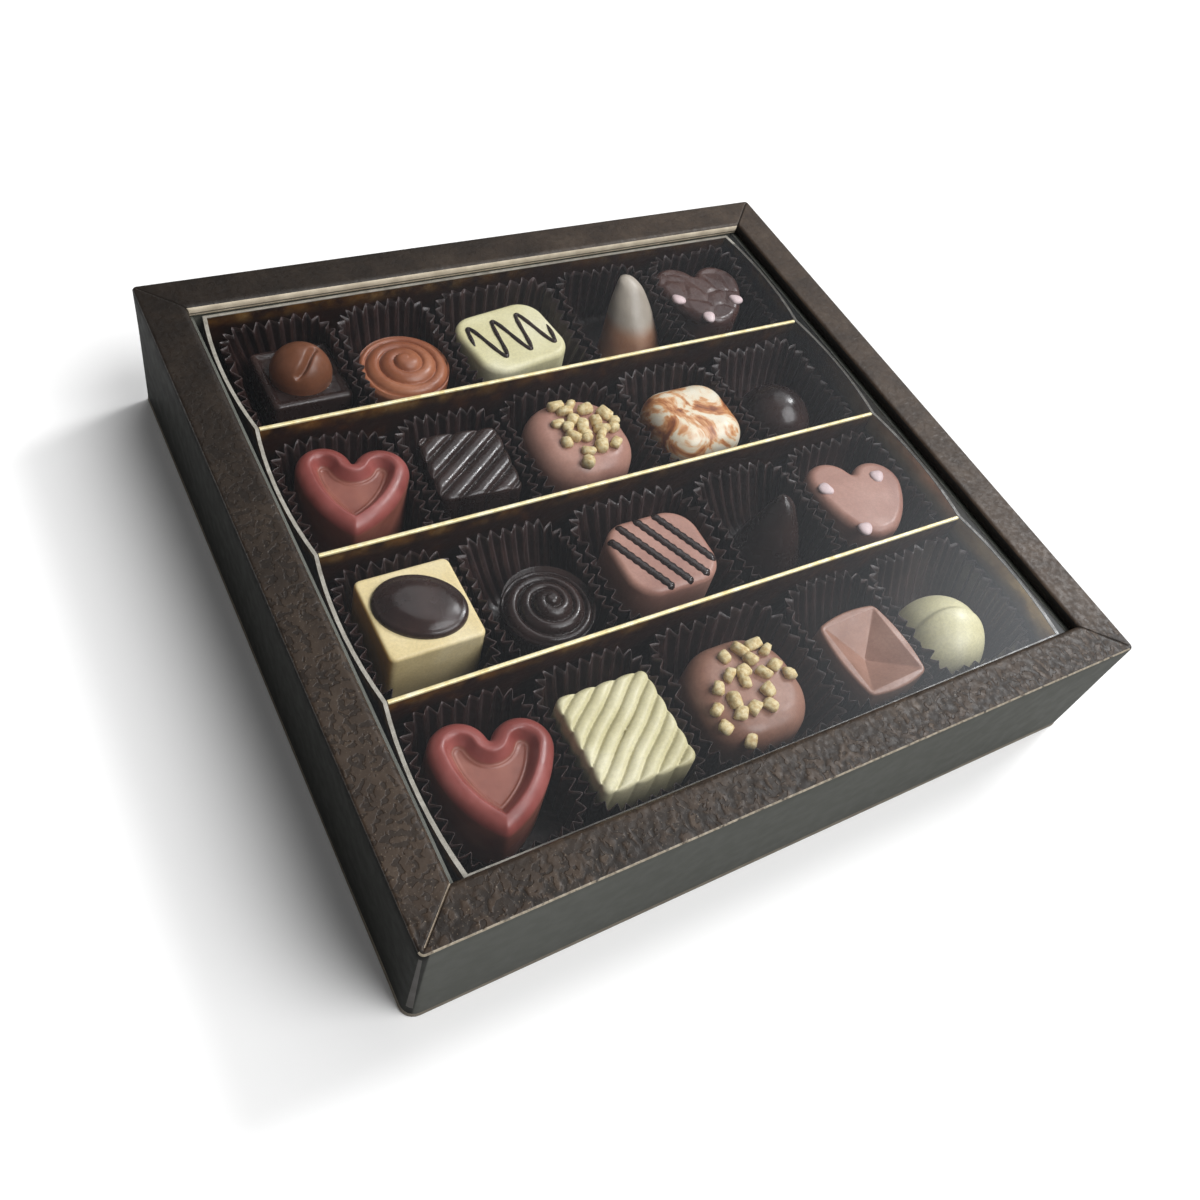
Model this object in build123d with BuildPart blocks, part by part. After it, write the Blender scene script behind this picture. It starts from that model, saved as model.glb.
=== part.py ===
from build123d import *
import os
from math import ceil, cos, hypot, pi, sin

os.makedirs("parts", exist_ok=True)

# The box stands on z = 0 with its centre on the z axis. x runs along the rows of pralines and +y points to
# the back. All lengths are millimetres.

# General values
overrun = 1.0
seat_gap = 0.2

# Lid frame: one sheet of card folded into walls, ledge, lip and glue flange
lid_width = 200.0
lid_depth = 193.5
box_height = 40.0
lid_floor_gap = 0.6
lid_card = 0.8
side_ledge = 11.2
end_ledge = 11.5
lip_drop = 2.8
flange_width = 6.0
wall_corner_radius = 2.4
outer_fold_radius = 1.0
inner_fold_radius = 1.5
mitre_gap = 0.25

# Window film, glued under the flange
film_thickness = 0.25
film_glue_width = 5.0

# Base tray: floor, outer wall, shelf and folded-in inner wall
base_card = 0.9
base_clearance = 0.4
inner_wall_slit = 0.4
base_corner_radius = 1.6

# Insert tray: raised floor, walls that bow out between the dividers
rows = 4
columns = 5
insert_side_margin = 15.6
insert_end_margin = 12.55
insert_card = 0.9
side_bow = 1.9
end_bow = 0.25
insert_floor_top = 14.0
insert_clearance = 0.5

# Dividers: card folded over at the top
divider_leaf = 0.4
divider_slot = 0.3
divider_end_gap = 0.2

# Paper cups
cup_paper = 0.35
cup_rim_drop = 6.75
cup_gap = 0.15
pleat_depth = 1.0
cup_pleats = 32
cup_corner = 8.5
cup_bottom_share = 0.98
# Where one cup meets the next in each row, as shares of the insert's inner width, from the back row on
cup_edge_shares = (
    (-0.308, -0.133, 0.103, 0.300),
    (-0.306, -0.124, 0.098, 0.299),
    (-0.311, -0.124, 0.106, 0.298),
    (-0.308, -0.121, 0.125, 0.294),
)

# Pralines, each sitting on the floor of its cup
bevel = 1.4
bean_block_side = 22.0
bean_block_height = 13.6
bean_width = 15.6
bean_length = 17.4
bean_height = 4.8
bean_slot = 1.2

swirl_radius = 11.7
swirl_height = 17.0
swirl_step = 1.0
swirl_rings = 4

line_block_width = 29.0
line_block_depth = 24.5
line_block_height = 18.4
line_block_corner = 7.0
line_width = 1.1
line_height = 0.5

cone_radius = 11.0
cone_height = 21.8
cone_tip_radius = 1.0
milk_cone_lean = (3.5, 8.0)
dark_cone_lean = (2.0, 4.2)

heart_width = 26.4
heart_length = 27.0
heart_height = 19.0
heart_rim = 4.2
heart_hollow = 3.6

lobed_width = 26.4
lobed_length = 27.5
lobed_height = 17.4
lobed_tip_radius = 6.0
dot_radius = 1.8
dot_height = 0.6

ridge_block_side = 23.0
ridge_block_height = 18.0
ridge_pitch = 4.5
ridge_drop = 1.3
ridge_block_corner = 2.5

nut_block_width = 29.0
nut_block_height = 18.6
nut_block_corner = 12.0
nut_block_round = 4.5
nut_length = 3.6
nut_width = 2.6
nut_height = 2.2
nut_chamfer = 0.7

marble_width = 26.6
marble_depth = 25.0
marble_height = 19.0
marble_corner = 8.0
marble_round = 5.5

dome_radius = 12.0
dome_height = 18.6
dome_skirt = 5.0

oval_block_side = 24.0
oval_block_height = 19.2
oval_length = 23.6
oval_width = 18.4
oval_height = 2.5

stripe_block_width = 27.0
stripe_block_depth = 24.0
stripe_block_height = 18.4
stripe_block_corner = 8.0
stripe_width = 2.0
stripe_pitch = 5.2
stripe_height = 0.5
stripe_count = 4

wave_block_width = 24.5
wave_block_depth = 26.0
wave_block_height = 19.6
wave_pitch = 4.6
wave_drop = 1.2
wave_block_corner = 2.0

dish_width = 19.0
dish_depth = 22.0
dish_height = 17.2
dish_bulge = 1.4
dish_rim = 1.0
dish_hollow = 6.0
dish_floor = 0.6

egg_length = 26.0
egg_width = 23.5
egg_height = 16.0
egg_skirt = 5.0
egg_fold = 1.2

# Places of the pralines: shift from the middle of the cell, as shares of the column and row pitch, and turn
praline_shift_shares = (
    ((0.075, 0.087, 0), (-0.114, -0.05, 0), (-0.13, -0.03, 8), (0.102, 0.08, 0), (-0.042, 0.027, -8)),
    ((-0.01, -0.02, -6), (-0.072, -0.015, -5), (-0.08, 0.0, 0), (0.02, -0.04, 0), (-0.075, -0.085, 0)),
    ((0.015, 0.04, 0), (-0.034, -0.10, 40), (-0.045, -0.04, 0), (0.105, -0.07, 0), (-0.06, -0.103, -14)),
    ((-0.02, -0.04, -6), (-0.085, -0.06, 0), (-0.045, -0.06, 0), (0.072, -0.11, 3), (-0.10, -0.12, 35)),
)
bean_turn = 58
oval_turn = -30
stripe_turn = 25
ridge_turn = 40
# Where the three dots lie on each lobed heart, as shares of its width and length
dark_heart_dot_shares = ((-0.38, -0.04), (0.30, -0.10), (-0.12, -0.32))
pink_heart_dot_shares = ((-0.37, 0.15), (0.24, 0.29), (-0.16, -0.33))

# Levels and half sizes that follow from the sizes above
film_top = box_height - lip_drop
film_underside = film_top - film_thickness
base_top = film_underside - seat_gap
insert_top = base_top
insert_width = lid_width - 2 * insert_side_margin
insert_depth = lid_depth - 2 * insert_end_margin
opening_width = lid_width - 2 * side_ledge
opening_depth = lid_depth - 2 * end_ledge
base_width = lid_width - 2 * (lid_card + base_clearance)
base_depth = lid_depth - 2 * (lid_card + base_clearance)
well_width = insert_width + 2 * (insert_card + side_bow + insert_clearance)
well_depth = insert_depth + 2 * (insert_card + end_bow + insert_clearance)
column_pitch = insert_width / columns
row_pitch = insert_depth / rows
divider_thickness = 2 * divider_leaf + divider_slot
cup_height = insert_top - cup_rim_drop - insert_floor_top
cup_floor_top = insert_floor_top + cup_paper


def finish(part, name):
    """Label one finished piece and write it."""
    part.label = name
    export_step(part, f"parts/{name}.step")


def row_y(row):
    return ((rows - 1) / 2 - row) * row_pitch


def column_x(column):
    return (column - (columns - 1) / 2) * column_pitch


def praline_plane(row, column, height=0.0):
    """The plane a praline is drawn on: its middle, turned, `height` above the floor of its cup."""
    shift_x, shift_y, turn = praline_shift_shares[row][column]
    place = (column_x(column) + shift_x * column_pitch, row_y(row) + shift_y * row_pitch)
    heading = (cos(turn * pi / 180), sin(turn * pi / 180), 0)
    return Plane(origin=(*place, cup_floor_top + height), x_dir=heading)


# Lid frame
with BuildPart() as lid_frame:
    with BuildSketch(Plane.XY.offset(lid_floor_gap)):
        RectangleRounded(lid_width, lid_depth, wall_corner_radius)
    extrude(amount=box_height - lid_floor_gap)
    with BuildSketch(Plane.XY.offset(lid_floor_gap - overrun)):
        RectangleRounded(lid_width - 2 * lid_card, lid_depth - 2 * lid_card, wall_corner_radius - lid_card)
    extrude(amount=box_height - lid_floor_gap - lid_card + overrun, mode=Mode.SUBTRACT)
    with BuildSketch(Plane.XY.offset(film_top)):
        Rectangle(opening_width + 2 * lid_card, opening_depth + 2 * lid_card)
    extrude(amount=lip_drop - lid_card)
    with BuildSketch(Plane.XY.offset(film_top)):
        Rectangle(opening_width + 2 * flange_width, opening_depth + 2 * flange_width)
    extrude(amount=lid_card)
    with BuildSketch(Plane.XY.offset(film_top - overrun)):
        Rectangle(opening_width, opening_depth)
    extrude(amount=lip_drop + 2 * overrun, mode=Mode.SUBTRACT)
    ledge = lid_frame.faces().sort_by(Axis.Z)[-1]
    fillet(ledge.inner_wires()[0].edges(), inner_fold_radius)
    ledge = lid_frame.faces().sort_by(Axis.Z)[-1]
    fillet(ledge.outer_wire().edges(), outer_fold_radius)
    # The mitres: a fine cut from the window to the inside of the outer corner
    for side_x in (-1, 1):
        for side_y in (-1, 1):
            run_x = side_ledge - lid_card
            run_y = end_ledge - lid_card
            middle = (side_x * (opening_width + run_x) / 2, side_y * (opening_depth + run_y) / 2)
            with BuildSketch(Plane.XY.offset(film_top - overrun)):
                with Locations(middle):
                    slope = side_x * side_y * 45
                    Rectangle(hypot(run_x, run_y), mitre_gap, rotation=slope)
            extrude(amount=lip_drop + 2 * overrun, mode=Mode.SUBTRACT)
finish(lid_frame.part, "lid_frame")

# Window film
with BuildPart() as window_film:
    with BuildSketch(Plane.XY.offset(film_underside)):
        Rectangle(opening_width + 2 * film_glue_width, opening_depth + 2 * film_glue_width)
    extrude(amount=film_thickness)
finish(window_film.part, "window_film")

# Base tray
with BuildPart() as base_tray:
    with BuildSketch():
        RectangleRounded(base_width, base_depth, base_corner_radius)
    extrude(amount=base_top)
    with BuildSketch(Plane.XY.offset(base_card)):
        inside = (base_width - 2 * base_card, base_depth - 2 * base_card)
        RectangleRounded(*inside, base_corner_radius - base_card)
        Rectangle(well_width + 2 * base_card, well_depth + 2 * base_card, mode=Mode.SUBTRACT)
    extrude(amount=base_top - 2 * base_card, mode=Mode.SUBTRACT)
    with BuildSketch(Plane.XY.offset(base_card)):
        Rectangle(well_width, well_depth)
    extrude(amount=base_top, mode=Mode.SUBTRACT)
    with BuildSketch(Plane.XY.offset(base_card)):
        Rectangle(well_width + 2 * base_card, well_depth + 2 * base_card)
    extrude(amount=inner_wall_slit, mode=Mode.SUBTRACT)
finish(base_tray.part, "base_tray")


def insert_outline(wall):
    """The insert's plan, `wall` outside its inner face: each side bows out between the dividers."""
    half_x = insert_width / 2 + wall
    half_y = insert_depth / 2 + wall
    with BuildSketch() as plan:
        with BuildLine():
            for side in (-1, 1):
                stations = [half_y] + [(rows / 2 - row) * row_pitch for row in range(1, rows)] + [-half_y]
                for upper, lower in zip(stations, stations[1:]):
                    bulge = (side * (half_x + side_bow), (upper + lower) / 2)
                    ThreePointArc((side * half_x, upper), bulge, (side * half_x, lower))
                bulge = (0, side * (half_y + end_bow))
                ThreePointArc((-half_x, side * half_y), bulge, (half_x, side * half_y))
        make_face()
    return plan.sketch


# Insert tray
with BuildPart() as insert_tray:
    with BuildSketch(Plane.XY.offset(base_card)):
        add(insert_outline(insert_card))
    extrude(amount=insert_top - base_card)
    with BuildSketch(Plane.XY.offset(insert_floor_top)):
        add(insert_outline(0))
    extrude(amount=insert_top - insert_floor_top + overrun, mode=Mode.SUBTRACT)
    with BuildSketch(Plane.XY.offset(base_card - overrun)):
        add(insert_outline(0))
    extrude(amount=insert_floor_top - insert_card - base_card + overrun, mode=Mode.SUBTRACT)
finish(insert_tray.part, "insert_tray")

# Dividers: two leaves and a rounded fold, standing on the insert's floor
for index in range(1, rows):
    half_length = insert_width / 2 - divider_end_gap
    height = insert_top - insert_floor_top
    foot = (-half_length, (rows / 2 - index) * row_pitch, insert_floor_top)
    with BuildPart() as divider:
        with BuildSketch(Plane(origin=foot, x_dir=(0, 1, 0), z_dir=(1, 0, 0))):
            with Locations((0, height / 2)):
                Rectangle(divider_thickness, height)
            with Locations((0, (height - divider_thickness) / 2)):
                Rectangle(divider_slot, height - divider_thickness, mode=Mode.SUBTRACT)
        extrude(amount=2 * half_length)
        fillet(divider.edges().filter_by(Axis.X).group_by(Axis.Z)[-1], divider_leaf)
    finish(divider.part, f"divider_{index}")


def pleated_plan(half_x, half_y, share):
    """A rounded rectangle with pleats, shrunk by `share`, as a list of points."""
    straight_x = half_x - cup_corner
    straight_y = half_y - cup_corner
    corner_length = cup_corner * pi / 2
    perimeter = 4 * (straight_x + straight_y + corner_length)
    points = []
    for step in range(2 * cup_pleats):
        inset = pleat_depth * (step % 2)
        along = perimeter * step / (2 * cup_pleats)
        quarter, rest = divmod(along, perimeter / 4)
        first, second = (straight_x, straight_y) if quarter % 2 == 0 else (straight_y, straight_x)
        reach = half_y if quarter % 2 == 0 else half_x
        if rest < first:
            local = (rest, reach - inset)
        elif rest < first + corner_length:
            angle = (rest - first) / cup_corner
            radius = cup_corner - inset
            local = (first + radius * sin(angle), reach - cup_corner + radius * cos(angle))
        else:
            local = (first + cup_corner - inset, second - (rest - first - corner_length))
        turn = -quarter * pi / 2
        points.append(
            (
                share * (local[0] * cos(turn) - local[1] * sin(turn)),
                share * (local[0] * sin(turn) + local[1] * cos(turn)),
            )
        )
    return points


# Paper cups: a tapered pleated wall on a flat floor
for row in range(rows):
    edges = [-0.5, *cup_edge_shares[row], 0.5]
    for column in range(columns):
        left = edges[column] * insert_width + cup_gap
        right = edges[column + 1] * insert_width - cup_gap
        half_x = (right - left) / 2
        half_y = (row_pitch - divider_thickness) / 2 - cup_gap
        inner_share = 1 - cup_paper / half_x
        middle = ((left + right) / 2, row_y(row))
        with BuildPart() as cup:
            for level, share in ((0, cup_bottom_share), (cup_height, 1)):
                with BuildSketch(Plane(origin=(*middle, insert_floor_top + level))):
                    Polygon(*pleated_plan(half_x, half_y, share), align=None)
            loft(ruled=True)
            slope = (1 - cup_bottom_share) / cup_height
            for level in (cup_paper, cup_height + overrun):
                share = (cup_bottom_share + slope * level) * inner_share
                with BuildSketch(Plane(origin=(*middle, insert_floor_top + level))):
                    Polygon(*pleated_plan(half_x, half_y, share), align=None)
            loft(ruled=True, mode=Mode.SUBTRACT)
        finish(cup.part, f"cup_{row + 1}{column + 1}")


def rounded_block(plane, width, depth, height, corner, rounding):
    """A moulded block: rounded plan and a softened top edge."""
    with BuildPart() as block:
        with BuildSketch(plane):
            RectangleRounded(width, depth, corner)
        extrude(amount=height)
        fillet(block.faces().sort_by(Axis.Z)[-1].edges(), rounding)
    return block.part


def heart_plan(width, length, tip_radius=0):
    """A heart, its cleft towards +y: two arcs on each side."""
    cleft = (0, 0.30 * length)
    lobe_top = (0.27 * width, length / 2)
    waist = (width / 2, 0.17 * length)
    flank = (0.34 * width, -0.19 * length)
    tip = (0, -length / 2)
    with BuildSketch() as plan:
        with BuildLine():
            ThreePointArc(cleft, lobe_top, waist)
            ThreePointArc(waist, flank, tip)
            mirror(about=Plane.YZ)
        make_face()
        if tip_radius:
            fillet(plan.vertices().sort_by(Axis.Y)[0], tip_radius)
    return plan.sketch


def bevelled_heart(plane, width, length, height, tip_radius=0):
    """A heart-shaped praline with a bevelled top edge."""
    with BuildPart() as shape:
        with BuildSketch(plane):
            add(heart_plan(width, length, tip_radius))
        extrude(amount=height - bevel)
        for level, shrink in ((height - bevel, 0), (height, bevel)):
            with BuildSketch(plane.offset(level)):
                add(heart_plan(width - shrink, length - shrink, tip_radius))
        loft()
    return shape.part


def ridged_block(plane, width, depth, height, corner, pitch, drop):
    """A moulded block whose top is a row of round ridges that slant across it."""
    slant = ridge_turn * pi / 180
    along = (cos(slant), sin(slant), 0)
    across = (-sin(slant), cos(slant), 0)
    reach = hypot(width, depth) / 2
    count = ceil(reach / pitch)
    with BuildPart() as block:
        with BuildSketch(plane):
            RectangleRounded(width, depth, corner)
        extrude(amount=height)
        with BuildSketch(Plane(origin=plane.origin, x_dir=across, z_dir=along)):
            with BuildLine():
                for index in range(-count, count):
                    valley = (index * pitch, height - drop)
                    crest = ((index + 0.5) * pitch, height)
                    ThreePointArc(valley, crest, ((index + 1) * pitch, height - drop))
                end = count * pitch
                Polyline((end, height - drop), (end, 0), (-end, 0), (-end, height - drop))
            make_face()
        extrude(amount=reach, both=True, mode=Mode.INTERSECT)
    return block.part


# Row 1, praline 1: dark bevelled square under a coffee bean
with BuildPart() as praline:
    with BuildSketch(praline_plane(0, 0)):
        Rectangle(bean_block_side, bean_block_side)
    extrude(amount=bean_block_height)
    chamfer(praline.faces().sort_by(Axis.Z)[-1].edges(), bevel)
finish(praline.part, "praline_11")

with BuildPart() as bean:
    with BuildSketch(praline_plane(0, 0, bean_block_height)):
        Ellipse(bean_length / 2, bean_width / 2, rotation=bean_turn)
    extrude(amount=bean_height)
    fillet(bean.faces().sort_by(Axis.Z)[-1].edges(), bean_height * 0.8)
    with BuildSketch(praline_plane(0, 0, bean_block_height + bean_height - bean_slot)):
        SlotOverall(bean_length * 0.66, bean_slot, rotation=bean_turn)
    extrude(amount=bean_slot + overrun, mode=Mode.SUBTRACT)
finish(bean.part, "coffee_bean")


def swirl(row, column):
    """A swirl: half-round rings that climb towards the middle."""
    plane = praline_plane(row, column)
    ring_width = swirl_radius / (swirl_rings + 0.5)
    first_height = swirl_height - swirl_step * (swirl_rings + 0.5)
    with BuildPart() as shape:
        with BuildSketch(Plane(origin=plane.origin, x_dir=(1, 0, 0), z_dir=(0, -1, 0))):
            with BuildLine():
                Polyline((0, 0), (swirl_radius, 0), (swirl_radius, first_height))
                for ring in range(swirl_rings):
                    outer = swirl_radius - ring * ring_width
                    foot = first_height + ring * swirl_step
                    crest = (outer - ring_width / 2, foot + swirl_step * 1.3)
                    ThreePointArc((outer, foot), crest, (outer - ring_width, foot + swirl_step))
                last = (ring_width / 2, first_height + swirl_rings * swirl_step)
                Line(last, (0, swirl_height))
                Line((0, swirl_height), (0, 0))
            make_face()
        revolve(axis=Axis(plane.origin, (0, 0, 1)))
    return shape.part


# Row 1, praline 2: milk swirl
finish(swirl(0, 1), "praline_12")

# Row 1, praline 3: white block with dark lines
block = rounded_block(
    praline_plane(0, 2), line_block_width, line_block_depth, line_block_height, line_block_corner, bevel
)
finish(block, "praline_13")
with BuildPart() as lines:
    with BuildSketch(praline_plane(0, 2, line_block_height)):
        reach = line_block_width / 2 - bevel - line_width
        swing = line_block_depth / 4
        with BuildLine():
            Polyline(
                (-reach, -swing), (-0.6 * reach, swing), (-0.3 * reach, -swing), (0, swing),
                (0.3 * reach, -swing), (0.6 * reach, swing), (reach, -swing),
            )
        trace(line_width=line_width)
    extrude(amount=line_height)
finish(lines.part, "dark_lines")


def cone(row, column, lean):
    """A cone with a blunt tip and full sides, its tip moved aside by `lean`."""
    plane = praline_plane(row, column)
    with BuildPart() as shape:
        for share, girth in ((0, 1), (0.3, 0.86), (0.65, 0.52)):
            with BuildSketch(plane.offset(share * cone_height)):
                with Locations((share * lean[0], share * lean[1])):
                    Circle(girth * cone_radius)
        with BuildSketch(plane.offset(cone_height)):
            with Locations(lean):
                Circle(cone_tip_radius)
        loft()
    return shape.part


# Row 1, praline 4: milk cone
finish(cone(0, 3, milk_cone_lean), "praline_14")


def lobed_heart(row, column, dot_shares, name, dots_name):
    """A heart with a blunt tip, and three dots on its top."""
    plane = praline_plane(row, column)
    finish(bevelled_heart(plane, lobed_width, lobed_length, lobed_height, lobed_tip_radius), name)
    dot_places = [(share_x * lobed_width, share_y * lobed_length) for share_x, share_y in dot_shares]
    with BuildPart() as dots:
        with BuildSketch(plane.offset(lobed_height)):
            with Locations(*dot_places):
                Circle(dot_radius)
        extrude(amount=dot_height)
    finish(dots.part, dots_name)


# Row 1, praline 5: dark lobed heart with pale dots
lobed_heart(0, 4, dark_heart_dot_shares, "praline_15", "dots_15")


def hollow_heart(row, column):
    """A heart with a raised rim and a smaller heart sunk in its top."""
    plane = praline_plane(row, column)
    with BuildPart() as shape:
        add(bevelled_heart(plane, heart_width, heart_length, heart_height))
        with BuildSketch(plane.offset(heart_height - heart_hollow)):
            add(heart_plan(heart_width - 2 * heart_rim, heart_length - 2 * heart_rim))
        extrude(amount=heart_hollow + overrun, mode=Mode.SUBTRACT)
    return shape.part


# Row 2, praline 1: red heart
finish(hollow_heart(1, 0), "praline_21")

# Row 2, praline 2: dark block with slanting ridges
block = ridged_block(
    praline_plane(1, 1), ridge_block_side, ridge_block_side, ridge_block_height, ridge_block_corner,
    ridge_pitch, ridge_drop,
)
finish(block, "praline_22")


def nut_block(row, column, name, nuts_name, nut_places):
    """A soft-edged block, and chopped nuts that lie on its flat top."""
    block = rounded_block(
        praline_plane(row, column), nut_block_width, nut_block_width, nut_block_height, nut_block_corner,
        nut_block_round,
    )
    finish(block, name)
    reach = nut_block_width / 2 - nut_block_round
    with BuildPart() as nuts:
        with BuildSketch(praline_plane(row, column, nut_block_height)):
            for share_x, share_y, turn in nut_places:
                with Locations((share_x * reach, share_y * reach)):
                    Rectangle(nut_length, nut_width, rotation=turn)
        extrude(amount=nut_height)
        chamfer(nuts.faces().filter_by(Plane.XY).group_by(Axis.Z)[-1].edges(), nut_chamfer)
    finish(nuts.part, nuts_name)


# Row 2, praline 3: milk block with nuts
nut_block(
    1, 2, "praline_23", "nuts_23",
    (
        (-0.70, 0.05, 20), (-0.30, 0.55, 75), (-0.25, -0.10, 130), (0.10, 0.28, 10), (0.20, 0.78, 50),
        (0.55, 0.50, 100), (0.62, -0.02, 35), (0.15, -0.45, 160), (-0.45, -0.62, 60),
    ),
)

# Row 2, praline 4: marbled block
block = rounded_block(
    praline_plane(1, 3), marble_width, marble_depth, marble_height, marble_corner, marble_round
)
finish(block, "praline_24")

# Row 2, praline 5: dark dome on a short skirt
with BuildPart() as praline:
    base = praline_plane(1, 4)
    rise = dome_height - dome_skirt
    curve_radius = (rise**2 + dome_radius**2) / (2 * rise)
    shoulder = (curve_radius * sin(pi / 4), dome_height - curve_radius * (1 - cos(pi / 4)))
    with BuildSketch(Plane(origin=base.origin, x_dir=(1, 0, 0), z_dir=(0, -1, 0))):
        with BuildLine():
            Polyline((0, dome_height), (0, 0), (dome_radius, 0), (dome_radius, dome_skirt))
            ThreePointArc((dome_radius, dome_skirt), shoulder, (0, dome_height))
        make_face()
    revolve(axis=Axis(base.origin, (0, 0, 1)))
finish(praline.part, "praline_25")

# Row 3, praline 1: white block under a dark oval
with BuildPart() as praline:
    with BuildSketch(praline_plane(2, 0)):
        Rectangle(oval_block_side, oval_block_side)
    extrude(amount=oval_block_height)
    chamfer(praline.faces().sort_by(Axis.Z)[-1].edges(), bevel / 2)
finish(praline.part, "praline_31")

with BuildPart() as oval:
    with BuildSketch(praline_plane(2, 0, oval_block_height)):
        Ellipse(oval_length / 2, oval_width / 2, rotation=oval_turn)
    extrude(amount=oval_height)
    fillet(oval.faces().sort_by(Axis.Z)[-1].edges(), oval_height * 0.8)
finish(oval.part, "dark_oval")

# Row 3, praline 2: dark swirl
finish(swirl(2, 1), "praline_32")

# Row 3, praline 3: milk block with dark stripes
block = rounded_block(
    praline_plane(2, 2), stripe_block_width, stripe_block_depth, stripe_block_height, stripe_block_corner,
    bevel,
)
finish(block, "praline_33")
with BuildPart() as stripes:
    with BuildSketch(praline_plane(2, 2, stripe_block_height)):
        RectangleRounded(
            stripe_block_width - 2 * bevel, stripe_block_depth - 2 * bevel, stripe_block_corner - bevel
        )
        with BuildSketch(mode=Mode.INTERSECT):
            with Locations(Rotation(0, 0, stripe_turn)):
                with GridLocations(stripe_pitch, 0, stripe_count, 1):
                    Rectangle(stripe_width, 2 * stripe_block_width)
    extrude(amount=stripe_height)
finish(stripes.part, "dark_stripes")

# Row 3, praline 4: dark cone
finish(cone(2, 3, dark_cone_lean), "praline_34")

# Row 3, praline 5: pink lobed heart with pale dots
lobed_heart(2, 4, pink_heart_dot_shares, "praline_35", "dots_35")

# Row 4, praline 1: red heart
finish(hollow_heart(3, 0), "praline_41")

# Row 4, praline 2: white block with slanting waves
block = ridged_block(
    praline_plane(3, 1), wave_block_width, wave_block_depth, wave_block_height, wave_block_corner,
    wave_pitch, wave_drop,
)
finish(block, "praline_42")

# Row 4, praline 3: milk block with nuts
nut_block(
    3, 2, "praline_43", "nuts_43",
    (
        (-0.85, -0.30, 10), (-0.50, 0.05, 60), (-0.45, -0.62, 120), (-0.05, -0.22, 25), (0.05, 0.62, 80),
        (0.50, 0.80, 15), (0.24, 0.14, 140), (0.72, 0.25, 45), (0.38, -0.42, 100), (-0.42, 0.70, 30),
    ),
)


def bulged_plan(width, depth, bulge):
    """A four-sided plan whose sides swell by `bulge`."""
    half_x, half_y = width / 2, depth / 2
    corners = [(-half_x, -half_y), (half_x, -half_y), (half_x, half_y), (-half_x, half_y)]
    with BuildSketch() as plan:
        with BuildLine():
            for start, end in zip(corners, corners[1:] + corners[:1]):
                middle = ((start[0] + end[0]) / 2, (start[1] + end[1]) / 2)
                far = hypot(*middle)
                swell = (middle[0] * (1 + bulge / far), middle[1] * (1 + bulge / far))
                ThreePointArc(start, swell, end)
        make_face()
    return plan.sketch


# Row 4, praline 4: milk dish with a hipped hollow
with BuildPart() as praline:
    with BuildSketch(praline_plane(3, 3)):
        add(bulged_plan(dish_width, dish_depth, dish_bulge))
    extrude(amount=dish_height)
    with BuildSketch(praline_plane(3, 3, dish_height - dish_hollow)):
        Rectangle(dish_floor, dish_floor)
    with BuildSketch(praline_plane(3, 3, dish_height)):
        Rectangle(dish_width - 2 * dish_rim, dish_depth - 2 * dish_rim)
    loft(mode=Mode.SUBTRACT)
finish(praline.part, "praline_44")

# Row 4, praline 5: white egg with a raised fold
with BuildPart() as praline:
    base = praline_plane(3, 4)
    with BuildSketch(base):
        Ellipse(egg_length / 2, egg_width / 2)
    extrude(amount=egg_skirt)
    with BuildSketch(base.offset(egg_skirt)):
        Ellipse(egg_length / 2, egg_width / 2)
    with BuildSketch(base.offset((egg_skirt + egg_height) / 2)):
        Ellipse(0.44 * egg_length, 0.43 * egg_width)
    with BuildSketch(base.offset(egg_height - egg_fold)):
        Ellipse(0.2 * egg_length, 0.14 * egg_width)
    loft()
    with BuildSketch(base.offset((egg_skirt + egg_height) / 2)):
        Rectangle(0.7 * egg_length, egg_fold)
    extrude(amount=(egg_height - egg_skirt) / 2)
finish(praline.part, "praline_45")
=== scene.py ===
import random
from math import asin, atan2, cos, hypot, pi, radians, sin, sqrt

import bmesh
import bpy
import numpy as np
from mathutils import Matrix, Quaternion, Vector, noise


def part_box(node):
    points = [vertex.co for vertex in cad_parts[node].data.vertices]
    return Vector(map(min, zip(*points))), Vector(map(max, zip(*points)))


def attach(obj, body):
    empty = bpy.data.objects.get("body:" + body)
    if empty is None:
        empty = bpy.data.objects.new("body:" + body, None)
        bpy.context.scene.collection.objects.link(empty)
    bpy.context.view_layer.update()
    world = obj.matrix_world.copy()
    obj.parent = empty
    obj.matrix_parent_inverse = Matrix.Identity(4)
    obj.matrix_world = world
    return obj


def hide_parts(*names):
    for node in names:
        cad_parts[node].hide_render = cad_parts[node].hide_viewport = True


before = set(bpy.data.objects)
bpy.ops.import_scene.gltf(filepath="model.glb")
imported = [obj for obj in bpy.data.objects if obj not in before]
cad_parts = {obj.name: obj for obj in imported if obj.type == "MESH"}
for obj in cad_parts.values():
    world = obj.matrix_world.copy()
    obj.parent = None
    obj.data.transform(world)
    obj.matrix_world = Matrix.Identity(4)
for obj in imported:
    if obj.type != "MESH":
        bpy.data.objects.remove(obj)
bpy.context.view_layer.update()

MM = 0.001

# Camera: at the photograph's viewing angle
CAMERA_PLACE = (-142.73, -154.22, 245.17)
CAMERA_TURN = (0.922508, 0.281972, -0.174294, -0.197719)
CAMERA_LENS = 33.53

scene = bpy.context.scene


def add_object(name, data):
    added = bpy.data.objects.new(name, data)
    scene.collection.objects.link(added)
    return added


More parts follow.
